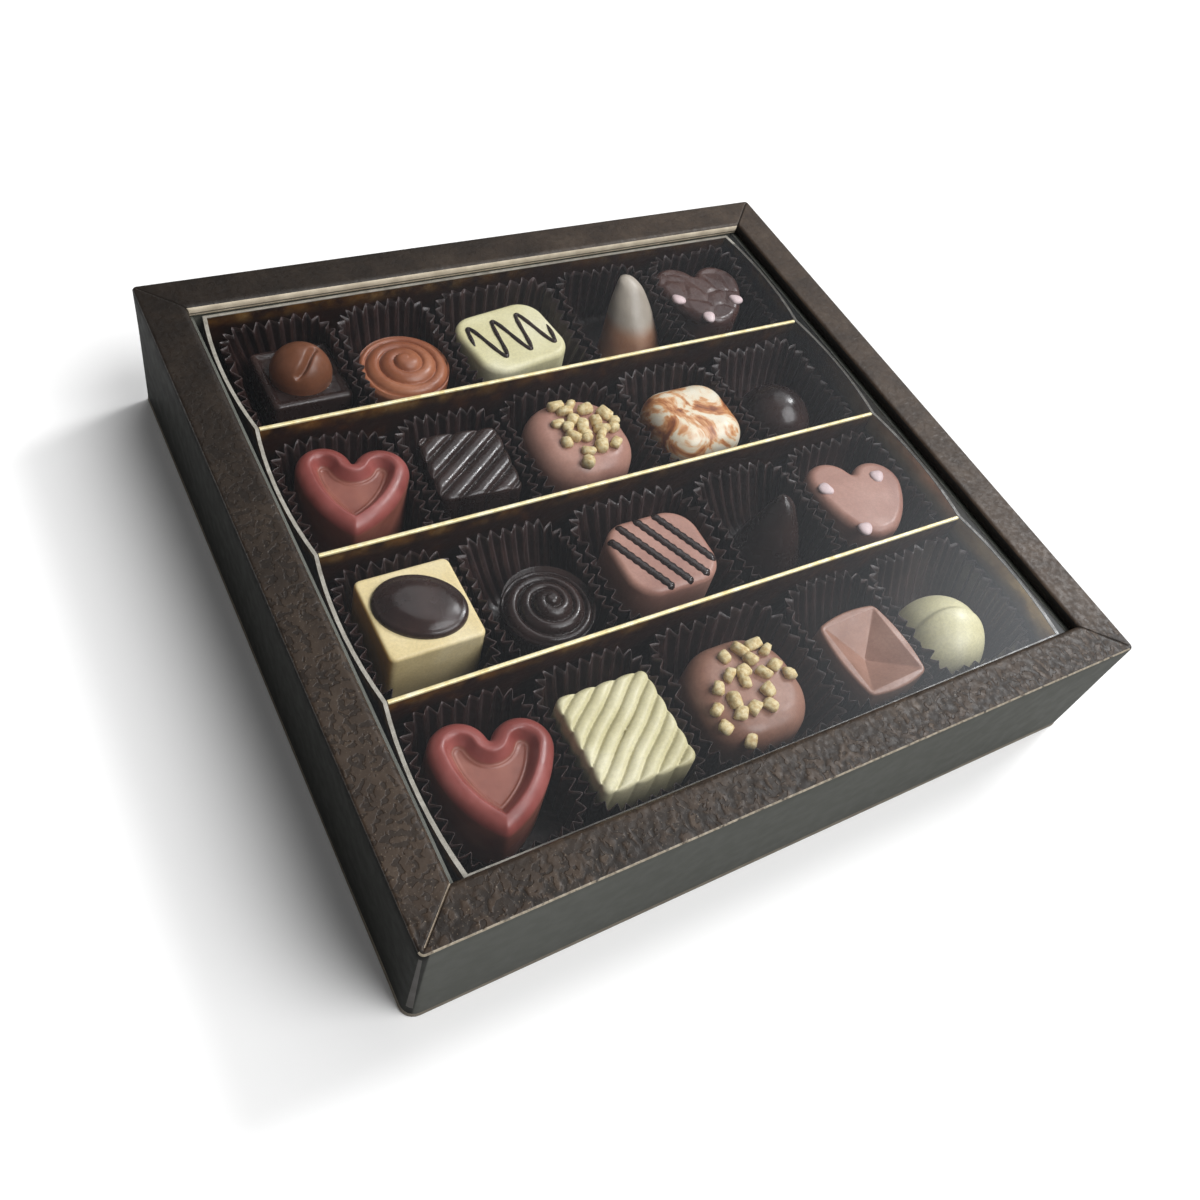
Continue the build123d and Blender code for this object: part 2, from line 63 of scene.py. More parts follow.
camera = add_object("camera", bpy.data.cameras.new("camera"))
camera.location = Vector(CAMERA_PLACE) * MM
camera.rotation_mode = "QUATERNION"
camera.rotation_quaternion = Quaternion(CAMERA_TURN)
camera.data.lens = CAMERA_LENS
camera.data.sensor_width = 36
camera.data.clip_start = 0.01
camera.data.clip_end = 100
scene.camera = camera
scene.view_settings.view_transform = "Standard"


def rgb(code):
    """A colour written as six hex digits, as the linear values that a shader takes."""
    parts = [int(code[i : i + 2], 16) / 255 for i in (0, 2, 4)]
    return tuple(c / 12.92 if c <= 0.04045 else ((c + 0.055) / 1.055) ** 2.4 for c in parts) + (1.0,)


class Graph:
    """A node material under construction."""

    def __init__(self, name, tree=None):
        if tree is None:
            self.material = bpy.data.materials.new(name)
            self.material.use_nodes = True
            tree = self.material.node_tree
        self.tree = tree
        self.tree.nodes.clear()

    def add(self, kind, values=None, out=0, **settings):
        """A node with its settings and input values or links. Returns one of its outputs."""
        node = self.tree.nodes.new("ShaderNode" + kind)
        for key, value in settings.items():
            setattr(node, key, value)
        for key, value in (values or {}).items():
            socket = node.inputs[key]
            if isinstance(value, bpy.types.NodeSocket):
                self.tree.links.new(value, socket)
            else:
                socket.default_value = value
        return node.outputs[out] if len(node.outputs) else None

    def place(self):
        return self.add("TexCoord", out="Object")

    def noise(self, scale, detail=3.0, rough=0.55, place=None, distortion=0.0):
        values = {"Scale": scale, "Detail": detail, "Roughness": rough, "Distortion": distortion}
        return self.add("TexNoise", {"Vector": place or self.place(), **values})

    def ramp(self, fac, stops):
        """A colour ramp through (position, hex colour) stops."""
        node = self.tree.nodes.new("ShaderNodeValToRGB")
        elements = node.color_ramp.elements
        while len(elements) < len(stops):
            elements.new(0.5)
        for element, (position, code) in zip(elements, stops):
            element.position = position
            element.color = rgb(code)
        self.tree.links.new(fac, node.inputs["Fac"])
        return node.outputs["Color"]

    def span(self, value, low, high, to_low=0.0, to_high=1.0, smooth=True):
        kind = "SMOOTHSTEP" if smooth else "LINEAR"
        values = {"Value": value, "From Min": low, "From Max": high, "To Min": to_low, "To Max": to_high}
        return self.add("MapRange", values, interpolation_type=kind)

    def math(self, operation, a, b):
        return self.add("Math", {0: a, 1: b}, operation=operation)

    def times(self, a, b):
        return self.math("MULTIPLY", a, b)

    def mix(self, fac, a, b, blend="MIX"):
        return self.add("Mix", {0: fac, 6: a, 7: b}, out=2, data_type="RGBA", blend_type=blend)

    def grey(self, value):
        return self.add("CombineColor", {0: value, 1: value, 2: value})

    def scaled(self, tone, factor):
        """The tone, lighter or darker by a factor."""
        return self.mix(1.0, tone, self.grey(factor), "MULTIPLY")

    def tones(self, scale, detail, stops):
        """Patches of colour."""
        return self.ramp(self.noise(scale, detail), stops)

    def patches(self, scale, detail, low, high):
        return self.tones(scale, detail, ((0.3, low), (0.7, high)))

    def wander(self, scale, low, high):
        """A value that wanders from low to high in patches."""
        return self.span(self.noise(scale, 3), 0.3, 0.7, low, high)

    def axis(self, name):
        return self.add("SeparateXYZ", {0: self.place()}, out=name)

    def bump(self, height, distance, strength=1.0, normal=None):
        values = {"Height": height, "Distance": distance, "Strength": strength}
        if normal is not None:
            values["Normal"] = normal
        return self.add("Bump", values)

    def finish(self, shader):
        self.add("OutputMaterial", {"Surface": shader})
        return self.material

    def shiny(self, tone, rough, normal=None, more=None):
        """Finish with one Principled shader."""
        values = {"Base Color": tone, "Roughness": rough, **(more or {})}
        if normal is not None:
            values["Normal"] = normal
        return self.finish(self.add("BsdfPrincipled", values))


def chocolate(name, deep, main, pale, rough=0.36, patch=70, grain=0.5, side=None):
    """Moulded chocolate: soft patches of tone, a satin gloss and fine pits. `side` tints its left face with a
    painted reflection of the gold card beside it.
    """
    g = Graph(name)
    tone = g.tones(patch, 4, ((0.30, deep), (0.52, main), (0.74, pale)))
    if side is not None:
        # Painted reflection: faces turned to the left take the tint.
        facing = g.add("SeparateXYZ", {0: g.add("NewGeometry", out="Normal")}, out="X")
        tone = g.mix(g.span(facing, -0.4, -0.9, 0.0, 0.85), tone, rgb(side))
    tone = g.scaled(tone, g.span(g.noise(1400, 3), 0.35, 0.65, 0.94, 1.05))
    gloss = g.wander(210, rough - 0.06, rough + 0.10)
    pits = g.bump(g.noise(750, 4), 0.00006 * grain)
    swell = g.bump(g.noise(120, 2), 0.0003 * grain, normal=pits)
    return g.shiny(tone, gloss, swell, {"IOR": 1.45})


def light_card(name, low, high, patch=500):
    """Matte card with fibres: bare cut card, and the painted highlight and painted shade on the lid's lips
    and mitres.
    """
    g = Graph(name)
    tone = g.patches(patch, 5, low, high)
    return g.shiny(tone, 0.8, g.bump(g.noise(2500, 2), 0.00004))


def leather_card(name="embossed_card", painted_highlight=None):
    """Brown card embossed like leather, deepest along the front: dark spots and valleys in a satin ground,
    with painted light that darkens it towards the back left and brightens it towards the front right, and
    optionally a pale broken painted highlight.
    """
    g = Graph(name)
    place = g.place()
    x, y = g.axis("X"), g.axis("Y")
    ledge = (-0.080, -0.092)  # the front and the left ledge lie beyond
    front, left = g.span(y, *ledge), g.span(x, *ledge)
    beside = g.times(g.times(left, 0.75), g.span(y, 0.09, -0.03))
    lively = g.math("MAXIMUM", front, beside)
    drift = g.add("TexNoise", {"Vector": place, "Scale": 260, "Detail": 3.0}, out="Color")
    bent = g.add("VectorMath", {0: drift, 1: (0.003,) * 3, 2: place}, operation="MULTIPLY_ADD")
    spots = g.span(g.noise(600, 1, 0.4, bent), 0.49, 0.58)
    slanted = g.add("Mapping", {"Vector": bent, "Rotation": (0, 0, 0.9), "Scale": (340, 200, 200)})
    cells = {"Vector": slanted, "Scale": 1.0}
    edge = g.add("TexVoronoi", cells, out="Distance", feature="DISTANCE_TO_EDGE")
    valley = g.math("SUBTRACT", 1.0, g.span(edge, 0.05, 0.30))
    valley = g.times(valley, g.span(g.noise(240, 2, 0.5, place), 0.36, 0.54))
    sunk = g.math("MAXIMUM", g.times(spots, 0.8), g.times(valley, front))
    sunk = g.times(sunk, g.span(lively, 0.0, 1.0, 0.22, 1.0, False))
    ground = g.ramp(g.noise(120, 4, 0.6, place), ((0.3, "2c2118"), (0.55, "3d3025"), (0.75, "4c3f33")))
    tone = g.mix(g.times(sunk, 0.95), ground, rgb("18110c"))
    # Painted light: the tone darkens towards the back left and brightens towards the front right, for the
    # light and gloss falling from the right.
    along = g.math("SUBTRACT", x, y)
    rise = g.times(g.span(along, -0.17, 0.02, 0.32, 1.0), g.span(along, 0.02, 0.19, 1.0, 1.3))
    tone = g.scaled(tone, rise)
    speck = g.times(g.span(g.noise(2200, 2, 0.5, place), 0.64, 0.74), lively)
    tone = g.mix(g.times(speck, 0.5), tone, rgb("8a7c6a"))
    # Painted highlight: pale broken patches along the fold.
    if painted_highlight is not None:
        highlit = g.span(g.noise(300, 4, 0.7, place), *painted_highlight)
        tone = g.mix(highlit, tone, g.ramp(g.noise(900, 2, 0.5, place), ((0.3, "7d7363"), (0.7, "a89d8b"))))
    gloss = g.span(g.noise(600, 3, 0.5, place), 0.35, 0.65, 0.40, 0.55)
    relief = g.bump(g.math("SUBTRACT", 1.0, sunk), 0.00018, 0.6)
    relief = g.bump(g.noise(900, 3, 0.6, place), 0.00006, 0.7, relief)
    return g.shiny(tone, gloss, relief, {"Specular IOR Level": 0.3})


def smooth_card(name, low, high, rough=0.42, shine=0.5):
    """Smooth coated card with faint clouds."""
    g = Graph(name)
    tone = g.patches(28, 4, low, high)
    tone = g.scaled(tone, g.wander(1700, 0.95, 1.05))
    gloss = g.wander(160, rough - 0.05, rough + 0.08)
    relief = g.bump(g.noise(60, 2), 0.0003, 0.4, g.bump(g.noise(1500, 3), 0.00003))
    return g.shiny(tone, gloss, relief, {"IOR": 1.5, "Specular IOR Level": shine})


def wall_card():
    """The plain dark sides of the lid, with painted shade on the left wall and under its fold."""
    g = Graph("wall_card")
    outer = (-0.0978, -0.0984)  # only the left wall lies beyond
    tone = g.patches(16, 2, "494a46", "4d4e4a")
    # Painted shade: a dark band on the left wall under its outer fold.
    fold = g.times(g.span(g.axis("X"), *outer), g.span(g.axis("Z"), 0.034, 0.0385))
    tone = g.mix(g.times(fold, 0.6), tone, rgb("1c1b18"))
    # Painted shade: the left wall darkened to about a quarter.
    tone = g.scaled(tone, g.span(g.axis("X"), *outer, 1.0, 0.26))
    return g.shiny(tone, g.wander(240, 0.5, 0.6), more={"Specular IOR Level": 0.02})


def gold_card(name, fold, crown, shine, shade_tones=None):
    """Gold foil on card, dark amber below as painted shade and painted reflection of the dark cups, and
    `crown` from the height `fold` up.

    With the darker tones given last, the crown takes them as painted shade away from the left and back walls,
    and the right wall gets a pale painted reflection near its top.
    """
    g = Graph(name)
    height = g.axis("Z")
    # Painted shade and painted reflection: below its top the foil is dark amber, as the dark cups and the
    # shade inside make it look; more foil shows towards the left.
    shaded_amber = g.tones(140, 4, ((0.3, "24110b"), (0.6, "381b10"), (0.8, "5c3415")))
    foil = g.tones(180, 4, ((0.3, "6e4015"), (0.5, "9a6a28"), (0.7, "c79a5a")))
    near = g.span(height, fold - 0.0045, fold - 0.0004)
    near = g.times(near, g.span(g.axis("X"), -0.06, 0.03, 0.85, 0.25))
    tone = g.mix(g.times(near, g.span(g.noise(120, 3), 0.35, 0.65)), shaded_amber, foil)
    crest = g.tones(420, 4, crown)
    if shade_tones is not None:
        # Painted reflection: a pale patch on the right wall near its top and front.
        high = g.span(height, fold - 0.008, fold - 0.005)
        right = g.times(g.span(g.axis("X"), 0.079, 0.080), high)
        right = g.times(right, g.span(g.axis("Y"), 0.030, -0.020))
        tone = g.mix(right, tone, g.patches(140, 3, "b08a5a", "d8bd92"))
        # Painted light and shade: the crown stays light on the left and back walls and takes the darker tones
        # elsewhere.
        shaded_edge = g.times(g.span(g.axis("X"), -0.076, -0.066), g.span(g.axis("Y"), 0.081, 0.080))
        crest = g.mix(shaded_edge, crest, g.tones(300, 3, shade_tones))
    top = g.span(height, fold - 0.0001, fold)
    tone = g.mix(top, tone, crest)
    gloss = g.wander(500, 0.30, 0.45)
    relief = g.bump(g.noise(160, 3), 0.0006, 0.8)
    return g.shiny(tone, gloss, relief, {"Metallic": g.span(top, 0.0, 1.0, 0.4, shine, False)})


def film_sheet():
    """Clear film, drawn tight with faint waves."""
    g = Graph("window_film")
    wave = g.bump(g.noise(9, 1), 0.0010, 0.25)
    haze = g.patches(22, 3, "b9bdc2", "c9cdd1")
    glossy = g.add("BsdfGlossy", {"Color": haze, "Roughness": 0.35, "Normal": wave})
    clear = g.add("BsdfTransparent", {"Color": (0.97, 0.975, 0.98, 1)})
    rim = g.add("Fresnel", {"IOR": 1.32, "Normal": wave})
    outer = g.math("SUBTRACT", 1.0, g.add("NewGeometry", out="Backfacing"))
    return g.finish(g.add("MixShader", {0: g.times(rim, outer), 1: clear, 2: glossy}))


def cup_paper():
    """Dark brown glassine paper, a little lighter where the pleats stand out and at the rim: a painted
    highlight.
    """
    g = Graph("cup_paper")
    tone = g.tones(260, 4, ((0.3, "1c0f0d"), (0.55, "2b1916"), (0.75, "38241f")))
    # Painted highlight on the pleat crests.
    ridge = g.add("Attribute", out="Fac", attribute_name="ridge")
    tone = g.mix(g.times(ridge, 0.5), tone, rgb("685656"))
    relief = g.bump(g.noise(1200, 3), 0.00005)
    return g.shiny(tone, g.wander(500, 0.34, 0.55), relief, {"IOR": 1.5})


def heart_red(floor_level):
    """Red sprayed over milk chocolate: the spray is thin on the sunken floor."""
    g = Graph("red_chocolate")
    spray = g.tones(110, 4, ((0.3, "7d3a34"), (0.52, "914b45"), (0.75, "a45e58")))
    floor = g.patches(160, 4, "7d4438", "965b4b")
    level = g.span(g.axis("Z"), floor_level + 0.0003, floor_level + 0.0009)
    tone = g.mix(level, floor, spray)
    relief = g.bump(g.noise(900, 4), 0.00004)
    return g.shiny(tone, g.wander(240, 0.30, 0.42), relief, {"IOR": 1.5})


def cone_milk(low, high):
    """Milk chocolate below, a pale painted highlight above."""
    g = Graph("milk_chocolate_painted_highlight")
    milk = g.patches(120, 4, "8a5f45", "a57a5c")
    pale = g.patches(90, 4, "958a7c", "b4a99b")
    # Painted highlight: the top turns pale grey.
    tone = g.mix(g.span(g.axis("Z"), low, high), milk, pale)
    relief = g.bump(g.noise(900, 4), 0.00005)
    return g.shiny(tone, g.wander(240, 0.36, 0.5), relief)


def marbled():
    """White chocolate swirled into caramel-orange."""
    g = Graph("marbled_chocolate")
    place = g.place()
    swirl = g.noise(85, 4, 0.6, place, 1.6)
    stops = ((0.36, "7f4427"), (0.44, "b5713f"), (0.50, "d9a06c"), (0.56, "ecdcc0"), (0.66, "efe6d2"))
    gloss = g.span(g.noise(240, 3, 0.5, place), 0.3, 0.7, 0.28, 0.42)
    return g.shiny(g.ramp(swirl, stops), gloss, g.bump(swirl, 0.0001))


LEATHER = leather_card()
# The embossed card with a painted highlight, for the front's outer fold.
LEATHER_PAINTED_HIGHLIGHT = leather_card("card_painted_highlight", (0.34, 0.50))
WALL_CARD = wall_card()
CUT_LIGHT = light_card("cut_edge_light", "8d8172", "b3a797")
# Painted shade in the mitre gaps.
SEAM_PAINTED_SHADE = light_card("seam_painted_shade", "1b1611", "2b241d")
INNER_CARD = smooth_card("inner_card", "2a2724", "38342f", 0.7)
# Painted shade on the lid's inner lips and on the right inner fold.
LIP_PAINTED_SHADE = smooth_card("lip_painted_shade", "1d1b1a", "282624", 0.6, 0.15)
# Painted highlight on the back lip.
LIP_PAINTED_HIGHLIGHT = light_card("lip_painted_highlight", "b7aa94", "dccfb8", 260)
# A line of painted shade across the back lip; at the lid's foot, its light bottom edge.
LIP_LINE = light_card("lip_line", "5a5246", "726a5c", 260)
BASE_CARD = smooth_card("base_card", "55564e", "6c6d64", 0.6)
# The insert's cut edge: its light tones, no metal, and the darker tones of its painted shade.
CUT_EDGE_LIGHT_AND_SHADE = (((0.3, "8f897d"), (0.7, "b7b1a5")), 0.0, ((0.3, "3f3a33"), (0.7, "5d574d")))
# Painted highlight: the dividers' top fold in pale gold.
GOLD_PAINTED_HIGHLIGHT = ((0.3, "e3cc8c"), (0.55, "f6e8b8"), (0.8, "fdf6d8"))
INSERT_GOLD = gold_card("insert_card", 0.0366, *CUT_EDGE_LIGHT_AND_SHADE)
DIVIDER_GOLD = gold_card("divider_card", 0.0362, GOLD_PAINTED_HIGHLIGHT, 0.25)
FILM = film_sheet()
CUP_PAPER = cup_paper()
DARK = chocolate("dark_chocolate", "1f1412", "2d1f1c", "3c2b27", 0.24)
RED_DARK = chocolate("reddish_dark_chocolate", "38231f", "4a322d", "5b423b", 0.28)
MILK = chocolate("milk_chocolate", "84492e", "995d3f", "ab6f4f")
BEAN_MILK = chocolate("bean_chocolate", "653c26", "784a33", "89593f")
WHITE = chocolate("white_chocolate", "cdc494", "dcd5ab", "e7e1c0", 0.40)
IVORY = chocolate("ivory_chocolate", "bcb389", "cec69d", "ddd6b4", 0.40)
# Its left face gets the painted reflection of the gold insert wall.
GOLDEN_WHITE = chocolate("golden_white_chocolate", "d4be88", "e3cf9c", "eedeb4", 0.40, side="c09140")
PINK_MILK = chocolate("pink_milk_chocolate", "9a6f62", "ab7f70", "b98f80")
DISH_MILK = chocolate("dish_chocolate", "87604f", "9a7261", "a98270")
NUT = chocolate("nut_pieces", "b9985f", "d8c493", "e9dcb6", 0.55, 900, 2.0)
PALE_PINK = chocolate("pink_topping", "cfb3b3", "dcc6c6", "e8d8d8", 0.45)

# Height of the floor on which a praline stands, in its cup
CUP_FLOOR = 14.35
RED = heart_red((CUP_FLOOR + 15.9) * MM)
CONE_MILK = cone_milk((CUP_FLOOR + 9.5) * MM, (CUP_FLOOR + 13.5) * MM)
MARBLED = marbled()


def make(name, points, faces, materials, replaced, marks=None, body="insert"):
    """A piece from points in millimetres. `marks` gives each face's material."""
    mesh = bpy.data.meshes.new(name)
    mesh.from_pydata([tuple(p) for p in np.asarray(points) * MM], [], [tuple(f) for f in faces])
    for material in materials:
        mesh.materials.append(material)
    if marks is not None:
        mesh.polygons.foreach_set("material_index", np.asarray(marks, np.int32))
    mesh.polygons.foreach_set("use_smooth", np.ones(len(mesh.polygons), bool))
    mesh.update()
    piece = add_object(name, mesh)
    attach(piece, body)
    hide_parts(*replaced)
    return piece


def strips(rows, columns, first=0, wrap_rows=False):
    """Quads between rows of points that each close into a loop."""
    faces = []
    for i in range(rows if wrap_rows else rows - 1):
        a, b = first + i * columns, first + (i + 1) % rows * columns
        for j in range(columns):
            k = (j + 1) % columns
            faces.append((a + j, a + k, b + k, b + j))
    return faces


def normals_of(points, faces):
    """One normal for each point, from its faces."""
    quads = np.asarray(faces)
    corners = points[quads]
    face_normals = np.cross(corners[:, 2] - corners[:, 0], corners[:, 3] - corners[:, 1])
    found = np.zeros_like(points)
    for corner in range(4):
        np.add.at(found, quads[:, corner], face_normals)
    return found / np.maximum(np.linalg.norm(found, axis=1, keepdims=True), 1e-9)


def unit(value):
    return np.clip(value, 0, 1)


def lumps(points, size, seed=0.0):
    """Smooth noise from -1 to 1 at each point, with features of about `size` mm."""
    return np.array([noise.noise(Vector((p[0] / size + seed, p[1] / size, p[2] / size))) for p in points])


# Lid frame: one folded sheet, swept round the window
LID_X, LID_Y, LID_TOP = 100.0, 96.75, 40.0
LEDGE_X, LEDGE_Y = 11.2, 11.5
LID_FOOT, CARD, FILM_TOP, FLANGE = 0.3, 0.8, 37.2, 6.0
OUTER_FOLD, INNER_FOLD, WALL_CORNER, SEAM = 0.6, 1.5, 1.3, 0.2
BLUNT = 2.3  # how far the front left corner is pressed in at its foot
MITRE_DEPTH = 0.3


def lid_frame():
    """The sheet's section, from the outer foot over the ledge to the inner one, carried round four sides."""
    rows = []  # inset from the left and right walls, inset from front and back, height, kind
    for z in np.linspace(LID_FOOT, LID_FOOT + 0.5, 2):
        rows.append((0, 0, z, "foot"))
    for z in np.linspace(LID_FOOT + 1.6, LID_TOP - OUTER_FOLD, 20):
        rows.append((0, 0, z, "wall"))
    for a in np.radians((18, 36, 54, 72, 90)):
        inset = OUTER_FOLD * (1 - cos(a))
        rows.append((inset, inset, LID_TOP - OUTER_FOLD + OUTER_FOLD * sin(a), "outer"))
    for t in np.linspace(0, 1, 21)[1:]:
        flat_x, flat_y = LEDGE_X - INNER_FOLD - OUTER_FOLD, LEDGE_Y - INNER_FOLD - OUTER_FOLD
        rows.append((OUTER_FOLD + t * flat_x, OUTER_FOLD + t * flat_y, LID_TOP, "ledge"))
    for a in np.radians((15, 30, 45, 60, 75, 90)):
        run, drop = INNER_FOLD * sin(a), INNER_FOLD * (1 - cos(a))
        rows.append((LEDGE_X - INNER_FOLD + run, LEDGE_Y - INNER_FOLD + run, LID_TOP - drop, "inner"))
    for z in (38.1, 37.65, FILM_TOP):
        rows.append((LEDGE_X, LEDGE_Y, z, "lip"))
    flange_top, card_under = FILM_TOP + CARD, LID_TOP - CARD
    for back, z in ((FLANGE, FILM_TOP), (FLANGE, flange_top), (CARD, flange_top), (CARD, card_under)):
        rows.append((LEDGE_X - back, LEDGE_Y - back, z, "under"))
    rows.append((CARD, CARD, card_under, "under"))
    rows.append((CARD, CARD, LID_FOOT, "under"))

    arc, run = 6, 340
    columns = 4 * (arc + run)
    points, kinds = [], [r[3] for r in rows]
    for inset_x, inset_y, z, _ in rows:
        radius = max(WALL_CORNER - min(inset_x, inset_y), SEAM)
        half_x, half_y = LID_X - inset_x - radius, LID_Y - inset_y - radius
        corners = ((half_x, -half_y), (half_x, half_y), (-half_x, half_y), (-half_x, -half_y))
        arcs = []
        for quarter, (x, y) in enumerate(corners):
            turns = np.radians(-90 + 90 * quarter + np.linspace(0, 90, arc + 1))
            if quarter == 3 and z < LID_TOP - CARD and min(inset_x, inset_y) <= CARD:
                more = BLUNT * (1 - z / LID_TOP)
                radius, x, y = radius + more, x + more, y + more
            arcs.append(np.column_stack([x + radius * np.cos(turns), y + radius * np.sin(turns)]))
        for quarter in range(4):
            points.extend((x, y, z) for x, y in arcs[quarter])
            start, end = arcs[quarter][-1], arcs[(quarter + 1) % 4][0]
            for t in np.arange(1, run) / run:
                points.append((*(start + (end - start) * t), z))
    points = np.array(points, float)
    faces = strips(len(rows), columns, wrap_rows=True)

    push = {"foot": 0, "wall": 0, "outer": 0.15, "ledge": 0.6, "inner": 0.35, "lip": 0.1, "under": 0}
    outward = normals_of(points, faces)
    for i, kind in enumerate(kinds):
        part = slice(i * columns, (i + 1) * columns)
        here = points[part]
        if push[kind]:
            cells = lumps(here, 1.5, 3.0) * 0.6 + lumps(here, 0.8, 9.0) * 0.4
            deep = 0.3 + 0.7 * unit((-here[:, 1] - 80) / 10)
            relief = np.clip(cells, -0.55, 0.25) * 0.30 * deep + lumps(here, 14, 5.0) * 0.10
            points[part] = here + outward[part] * (relief[:, None] * push[kind] - 0.04)
        elif kind == "wall":
            depth = 0.25 * (1 + lumps(here, 34, 1.0)) * min(1, (LID_TOP - here[0, 2]) / 12)
            points[part] = here - outward[part] * depth[:, None] * 0.6
    # The mitres are fine grooves from the window to the outer corners
    for i, (inset_x, _, z, kind) in enumerate(rows):
        if kind in ("ledge", "inner", "lip") and inset_x > WALL_CORNER:
            for quarter in range(4):
                first = i * columns + quarter * (arc + run)
                points[first + 1 : first + arc, 2] -= MITRE_DEPTH
    materials = [LEATHER, WALL_CARD, CUT_LIGHT, INNER_CARD, LIP_PAINTED_SHADE, SEAM_PAINTED_SHADE, LIP_PAINTED_HIGHLIGHT, LIP_LINE]
    materials.append(LEATHER_PAINTED_HIGHLIGHT)
    # The lips are painted shade.
    surface = {"foot": LIP_LINE, "wall": WALL_CARD, "lip": LIP_PAINTED_SHADE, "under": INNER_CARD}
    marks = []
    for i, kind in enumerate(kinds):
        height = rows[i][2]
        for j in range(columns):
            quarter, step = divmod(j, arc + run)
            side = ("right", "back", "left", "front")[quarter]
            shown = surface.get(kind, LEATHER)
            if side == "left" and kind == "lip":
                shown = LEATHER
            # Painted shade on the right inner fold below its top.
            elif side == "right" and kind == "inner" and height < LID_TOP - 0.4:
                shown = LIP_PAINTED_SHADE
            elif side == "front" and kind == "wall" and 2 <= step <= 3 and 4 < height < 37:
                shown = INNER_CARD
            # The mitres: a light cut edge at the front left corner, painted shade in the gaps at the other
            # corners.
            if step < arc and kind in ("ledge", "inner", "lip") and rows[i][0] > WALL_CORNER:
                shown = CUT_LIGHT if side == "front" else SEAM_PAINTED_SHADE
            # Painted highlight: the back lip and the back inner fold below its top are pale, with a line of
            # painted shade across them.
            elif side == "back" and (kind == "lip" or (kind == "inner" and height < LID_TOP - 0.3)):
                shown = LIP_LINE if 37.9 < height < 38.3 else LIP_PAINTED_HIGHLIGHT
            # Painted highlight: a pale broken line along the front's outer fold.
            elif side == "front" and kind == "outer" and LID_TOP - 0.45 < height < LID_TOP - 0.05:
                shown = LEATHER_PAINTED_HIGHLIGHT
            marks.append(materials.index(shown))
    make("lid_shell", points, faces, materials, ["lid_frame"], marks, "lid")


lid_frame()

# CAD nodes whose shape is right keep it and get their finish
for node, material, slot in (
    ("window_film", FILM, "window_film"),
    ("base_tray", BASE_CARD, "base_card"),
    ("insert_tray", INSERT_GOLD, "gold_card"),
    *((f"divider_{index}", DIVIDER_GOLD, "gold_card") for index in (1, 2, 3)),
):
    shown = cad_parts[node]
    shown.data.materials.clear()
    shown.data.materials.append(material)

# Where the pralines stand: centre and turn, from the back row on
PLACES = {
    11: (-64.99, 66.81, 0), 12: (-37.61, 61.05, 0), 13: (-4.39, 61.89, 8), 14: (37.20, 66.52, 0),
    15: (66.10, 64.29, -8), 21: (-67.86, 20.21, -19), 22: (-36.19, 20.42, -5), 23: (-2.70, 21.05, 0),
    24: (34.44, 19.37, 0), 25: (64.99, 17.47, 0), 31: (-67.01, -19.37, 0), 32: (-34.91, -25.26, 40),
    33: (-1.52, -22.73, 0), 34: (37.30, -24.00, 0), 35: (65.49, -25.39, -14), 41: (-68.20, -64.83, -15),
    42: (-36.63, -65.68, 0), 43: (-1.52, -65.68, 0), 44: (36.19, -67.78, 3), 45: (64.14, -68.20, 35),
}
# Where one cup meets the next, along each row
CUP_EDGES = (
    (-84.40, -51.99, -22.45, 17.39, 50.64, 84.40),
    (-84.40, -51.65, -20.93, 16.54, 50.47, 84.40),
    (-84.40, -52.50, -20.93, 17.89, 50.30, 84.40),
    (-84.40, -51.99, -20.42, 21.10, 49.63, 84.40),
)
ROW_PITCH, CUP_RIM, CUP_TOP = 42.1, 30.6, 35.6
CUP_GAP_X, CUP_GAP_Y, FOOT_INSET = 0.35, 0.95, 1.2
FOOT_CORNER, RIM_CORNER = 6.5, 8.0
PLEATS, PLEAT_STEPS, CUP_LEVELS = 38, 10, 12
PLEAT_EDGE = 0.96  # 1 would make the folds sharp
PAPER_THICKNESS = 0.14
# How far a cup's flat foot reaches beyond its praline, where it isn't 1 mm
FOOT_SPREADS = {14: 5.0, 15: 2.2, 21: 2.2, 35: 2.2, 41: 2.2, 45: 2.2}


def rounded_loop(centre, half_x, half_y, corner, count):
    """Points round a rounded rectangle, evenly along its edge, and their outward directions."""
    straight_x, straight_y = half_x - corner, half_y - corner
    bend = corner * pi / 2
    around = 4 * (straight_x + straight_y + bend)
    spots, outs = np.zeros((count, 2)), np.zeros((count, 2))
    for k in range(count):
        quarter, rest = divmod(around * k / count, around / 4)
        first, reach = (straight_x, half_y) if quarter % 2 == 0 else (straight_y, half_x)
        if rest < first:
            spot, out = (rest, reach), (0, 1)
        elif rest < first + bend:
            a = (rest - first) / corner
            out = (sin(a), cos(a))
            spot = (first + corner * out[0], reach - corner + corner * out[1])
        else:
            last = straight_y if quarter % 2 == 0 else straight_x
            spot, out = (first + corner, last - (rest - first - bend)), (1, 0)
        turn = -quarter * pi / 2
        c, s = cos(turn), sin(turn)
        spots[k] = (centre[0] + spot[0] * c - spot[1] * s, centre[1] + spot[0] * s + spot[1] * c)
        outs[k] = (out[0] * c - out[1] * s, out[0] * s + out[1] * c)
    return spots, outs


